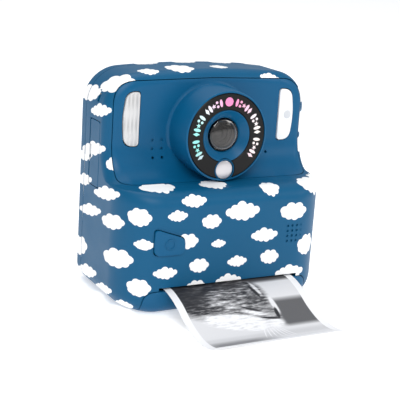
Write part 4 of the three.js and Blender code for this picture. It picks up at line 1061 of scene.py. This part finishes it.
class CAMERA_OT_door(bpy.types.Operator):
    """Builds the paper door with its knuckle and the ears that carry the platen."""
    bl_idname = "camera_kit.door"
    bl_label = "Paper door"

    def execute(self, context):
        seam, fine = sizes().seam / MM, sizes().smooth
        thick = DOOR["low"] + DOOR["plate"]
        shell = combine(casing_form(0, fine), casing_form(thick, fine // 2))
        shell = combine(shell, door_region(0, 0), "INTERSECT")
        shell = combine(shell, box((-60, -60, DOOR["low"]), (60, HINGE["y"], SLOT["low"])), "INTERSECT")
        at, rear = (0, HINGE["y"], HINGE["z"]), HINGE["y"] - HINGE["radius"] - 0.8
        extra = [rod(HINGE["radius"], -HINGE["knuckle"], HINGE["knuckle"], "X", at, 48),
                 box((-HINGE["knuckle"], rear - 3, DOOR["low"]), (HINGE["knuckle"], HINGE["y"], thick))]
        for side in (-1, 1):
            low, high = sorted((side * 28.9, side * 30.4))
            extra.append(box((low, PLATEN["y"] - 3.4, thick - 1), (high, PLATEN["y"] + 3.4, PLATEN["z"] + 3)))
        for part in extra:
            shell = combine(shell, part, "UNION")
        platen = (0, PLATEN["y"], PLATEN["z"])
        shell = cut(shell, rod(HINGE["pin"] + seam, -60, 60, "X", at, 32),
                    rod(PLATEN["shaft"] + seam, -60, 60, "X", platen, 32), rod(3.9, 32.4, 36, "X", platen, 32))
        finish_piece("door_shell", shell, FINISHES["panel_blue"](), "door", ["paper_door"])
        return {"FINISHED"}


class CAMERA_OT_printer(bpy.types.Operator):
    """Builds the round parts of the printer: the paper roll, its tube, the platen and its shafts."""
    bl_idname = "camera_kit.printer"
    bl_label = "Printer"

    def execute(self, context):
        def tube(name, outer, inner, half, centre, finish, body, node, steps=96):
            edge = 0.25
            profile = [(inner, -half + edge), (inner + edge, -half), (outer - edge, -half), (outer, -half + edge),
                       (outer, half - edge), (outer - edge, half), (inner + edge, half), (inner, half - edge),
                       (inner, -half + edge)]
            finish_piece(name, lathe(profile, "X", centre, steps), finish, body, [node])
        roll, platen = (0, ROLL["y"], ROLL["z"]), (0, PLATEN["y"], PLATEN["z"])
        wound = simple("paper_thermal_wound", "e6e4df", "f4f3ef", 0.75, 0.6, 0.02)
        tube("paper_roll_wound", ROLL["radius"], ROLL["bore"], PAPER_WIDTH / 2, roll, wound, "roll",
             "paper_roll")
        tube("roll_core_tube", ROLL["bore"] - 0.3, ROLL["core_bore"], PAPER_WIDTH / 2, roll, FINISHES["core_tube"](),
             "roll", "roll_core")
        tube("platen_sleeve", PLATEN["radius"], PLATEN["shaft"] + 0.3, 28.4, platen,
             simple("rubber_silicone_black", "141416", "1d1d20", 0.7, 0.3, 0.01), "platen", "platen_roller")
        low, high = (corner.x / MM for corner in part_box("platen_shaft"))
        shaft = lathe([(0, low), (1.2, low), (1.5, low + 0.3), (1.5, high - 0.3), (1.2, high), (0, high)],
                      "X", platen, 48)
        finish_piece("platen_axle", shaft, brushed_steel(), "platen", ["platen_shaft"])
        low, high = (corner.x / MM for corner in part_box("door_hinge_pin"))
        pin = lathe([(0, low), (0.7, low), (0.9, low + 0.2), (0.9, high - 0.2), (0.7, high), (0, high)], "X",
                    (0, HINGE["y"], HINGE["z"]), 32)
        finish_piece("door_pin", pin, brushed_steel(), "root", ["door_hinge_pin"])
        return {"FINISHED"}


class CAMERA_OT_fittings(bpy.types.Operator):
    """Builds the port cover and the four case screws."""
    bl_idname = "camera_kit.fittings"
    bl_label = "Fittings"

    def execute(self, context):
        low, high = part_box("port_cover")
        bm = box([c / MM for c in low], [c / MM for c in high])
        upright = [e for e in bm.edges if abs((e.verts[0].co - e.verts[1].co).normalized().x) > 0.9]
        bmesh.ops.bevel(bm, geom=upright, offset=1.2 * MM, affect="EDGES", segments=5, profile=0.5, material=-1)
        nick = box((-46, PORT["rear"] - 1.1, 54), (-44.4, PORT["rear"] + 1, 59.5))
        cover = soften(combine(bm, nick), 0.12)
        spacing = 0.4
        for axis, start, end in (((0, 1, 0), PORT["front"], PORT["rear"]), ((0, 0, 1), PORT["low"], PORT["high"])):
            for place in np.arange(start + spacing, end, spacing):
                bmesh.ops.bisect_plane(cover, geom=cover.verts[:] + cover.edges[:] + cover.faces[:], dist=1e-6,
                                       plane_co=Vector(axis) * place * MM, plane_no=axis)
        piece = finish_piece("port_cover_moulded", cover, printed_casing(), "port_flap", ["port_cover"])
        print_clouds(piece, BVHTree.FromBMesh(casing_form(0, sizes().smooth)))
        for i, (x, z) in enumerate(SCREWS):
            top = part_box(f"case_screw_{i + 1}")[1].y / MM
            head = lathe([(0, top), (1.9, top), (2.4, top - 0.25), (2.5, top - 0.6), (2.5, top - 1.1), (0.8, top - 2.1),
                          (0.8, top - 13), (0, top - 13)], centre=(x, 0, z), steps=48)
            for wide, tall in ((1.5, 0.28), (0.28, 1.5)):
                head = combine(head, box((x - wide, top - 0.9, z - tall), (x + wide, top + 1, z + tall)))
            finish_piece(f"case_screw_cross_{i + 1}", head, brushed_steel(), "root", [f"case_screw_{i + 1}"])
        return {"FINISHED"}


class CAMERA_OT_finishes(bpy.types.Operator):
    """Gives every remaining working part the finish of its material slot."""
    bl_idname = "camera_kit.finishes"
    bl_label = "Working parts"

    def execute(self, context):
        slots = {part["node"]: part["material_slot"] for part in frame["record"]["subparts"]}
        for name, node in frame["nodes"].items():
            if node.hide_render:
                continue
            node.data.materials.clear()
            node.data.materials.append(FINISHES[slots[name]]())
        return {"FINISHED"}


STEPS = (CAMERA_OT_stage, CAMERA_OT_casing, CAMERA_OT_panel, CAMERA_OT_lens, CAMERA_OT_windows, CAMERA_OT_buttons,
         CAMERA_OT_screen, CAMERA_OT_paper, CAMERA_OT_door, CAMERA_OT_printer, CAMERA_OT_fittings, CAMERA_OT_finishes)


class CAMERA_PT_steps(bpy.types.Panel):
    """Lists the building steps in order."""
    bl_label = "Instant Print Camera"
    bl_idname = "CAMERA_PT_steps"
    bl_space_type = "VIEW_3D"
    bl_region_type = "UI"
    bl_category = "Camera"

    def draw(self, context):
        for step in STEPS:
            self.layout.operator(step.bl_idname)


CLASSES = (CameraSizes, CameraColours) + STEPS + (CAMERA_PT_steps,)


def register():
    for cls in CLASSES:
        bpy.utils.register_class(cls)
    bpy.types.Scene.camera_sizes = PointerProperty(type=CameraSizes)
    bpy.types.Scene.camera_colours = PointerProperty(type=CameraColours)


def unregister():
    del bpy.types.Scene.camera_sizes
    del bpy.types.Scene.camera_colours
    for cls in reversed(CLASSES):
        bpy.utils.unregister_class(cls)


def main():
    register()
    for step in STEPS:
        group, name = step.bl_idname.split(".")
        getattr(getattr(bpy.ops, group), name)()


if __name__ == "__main__":
    main()
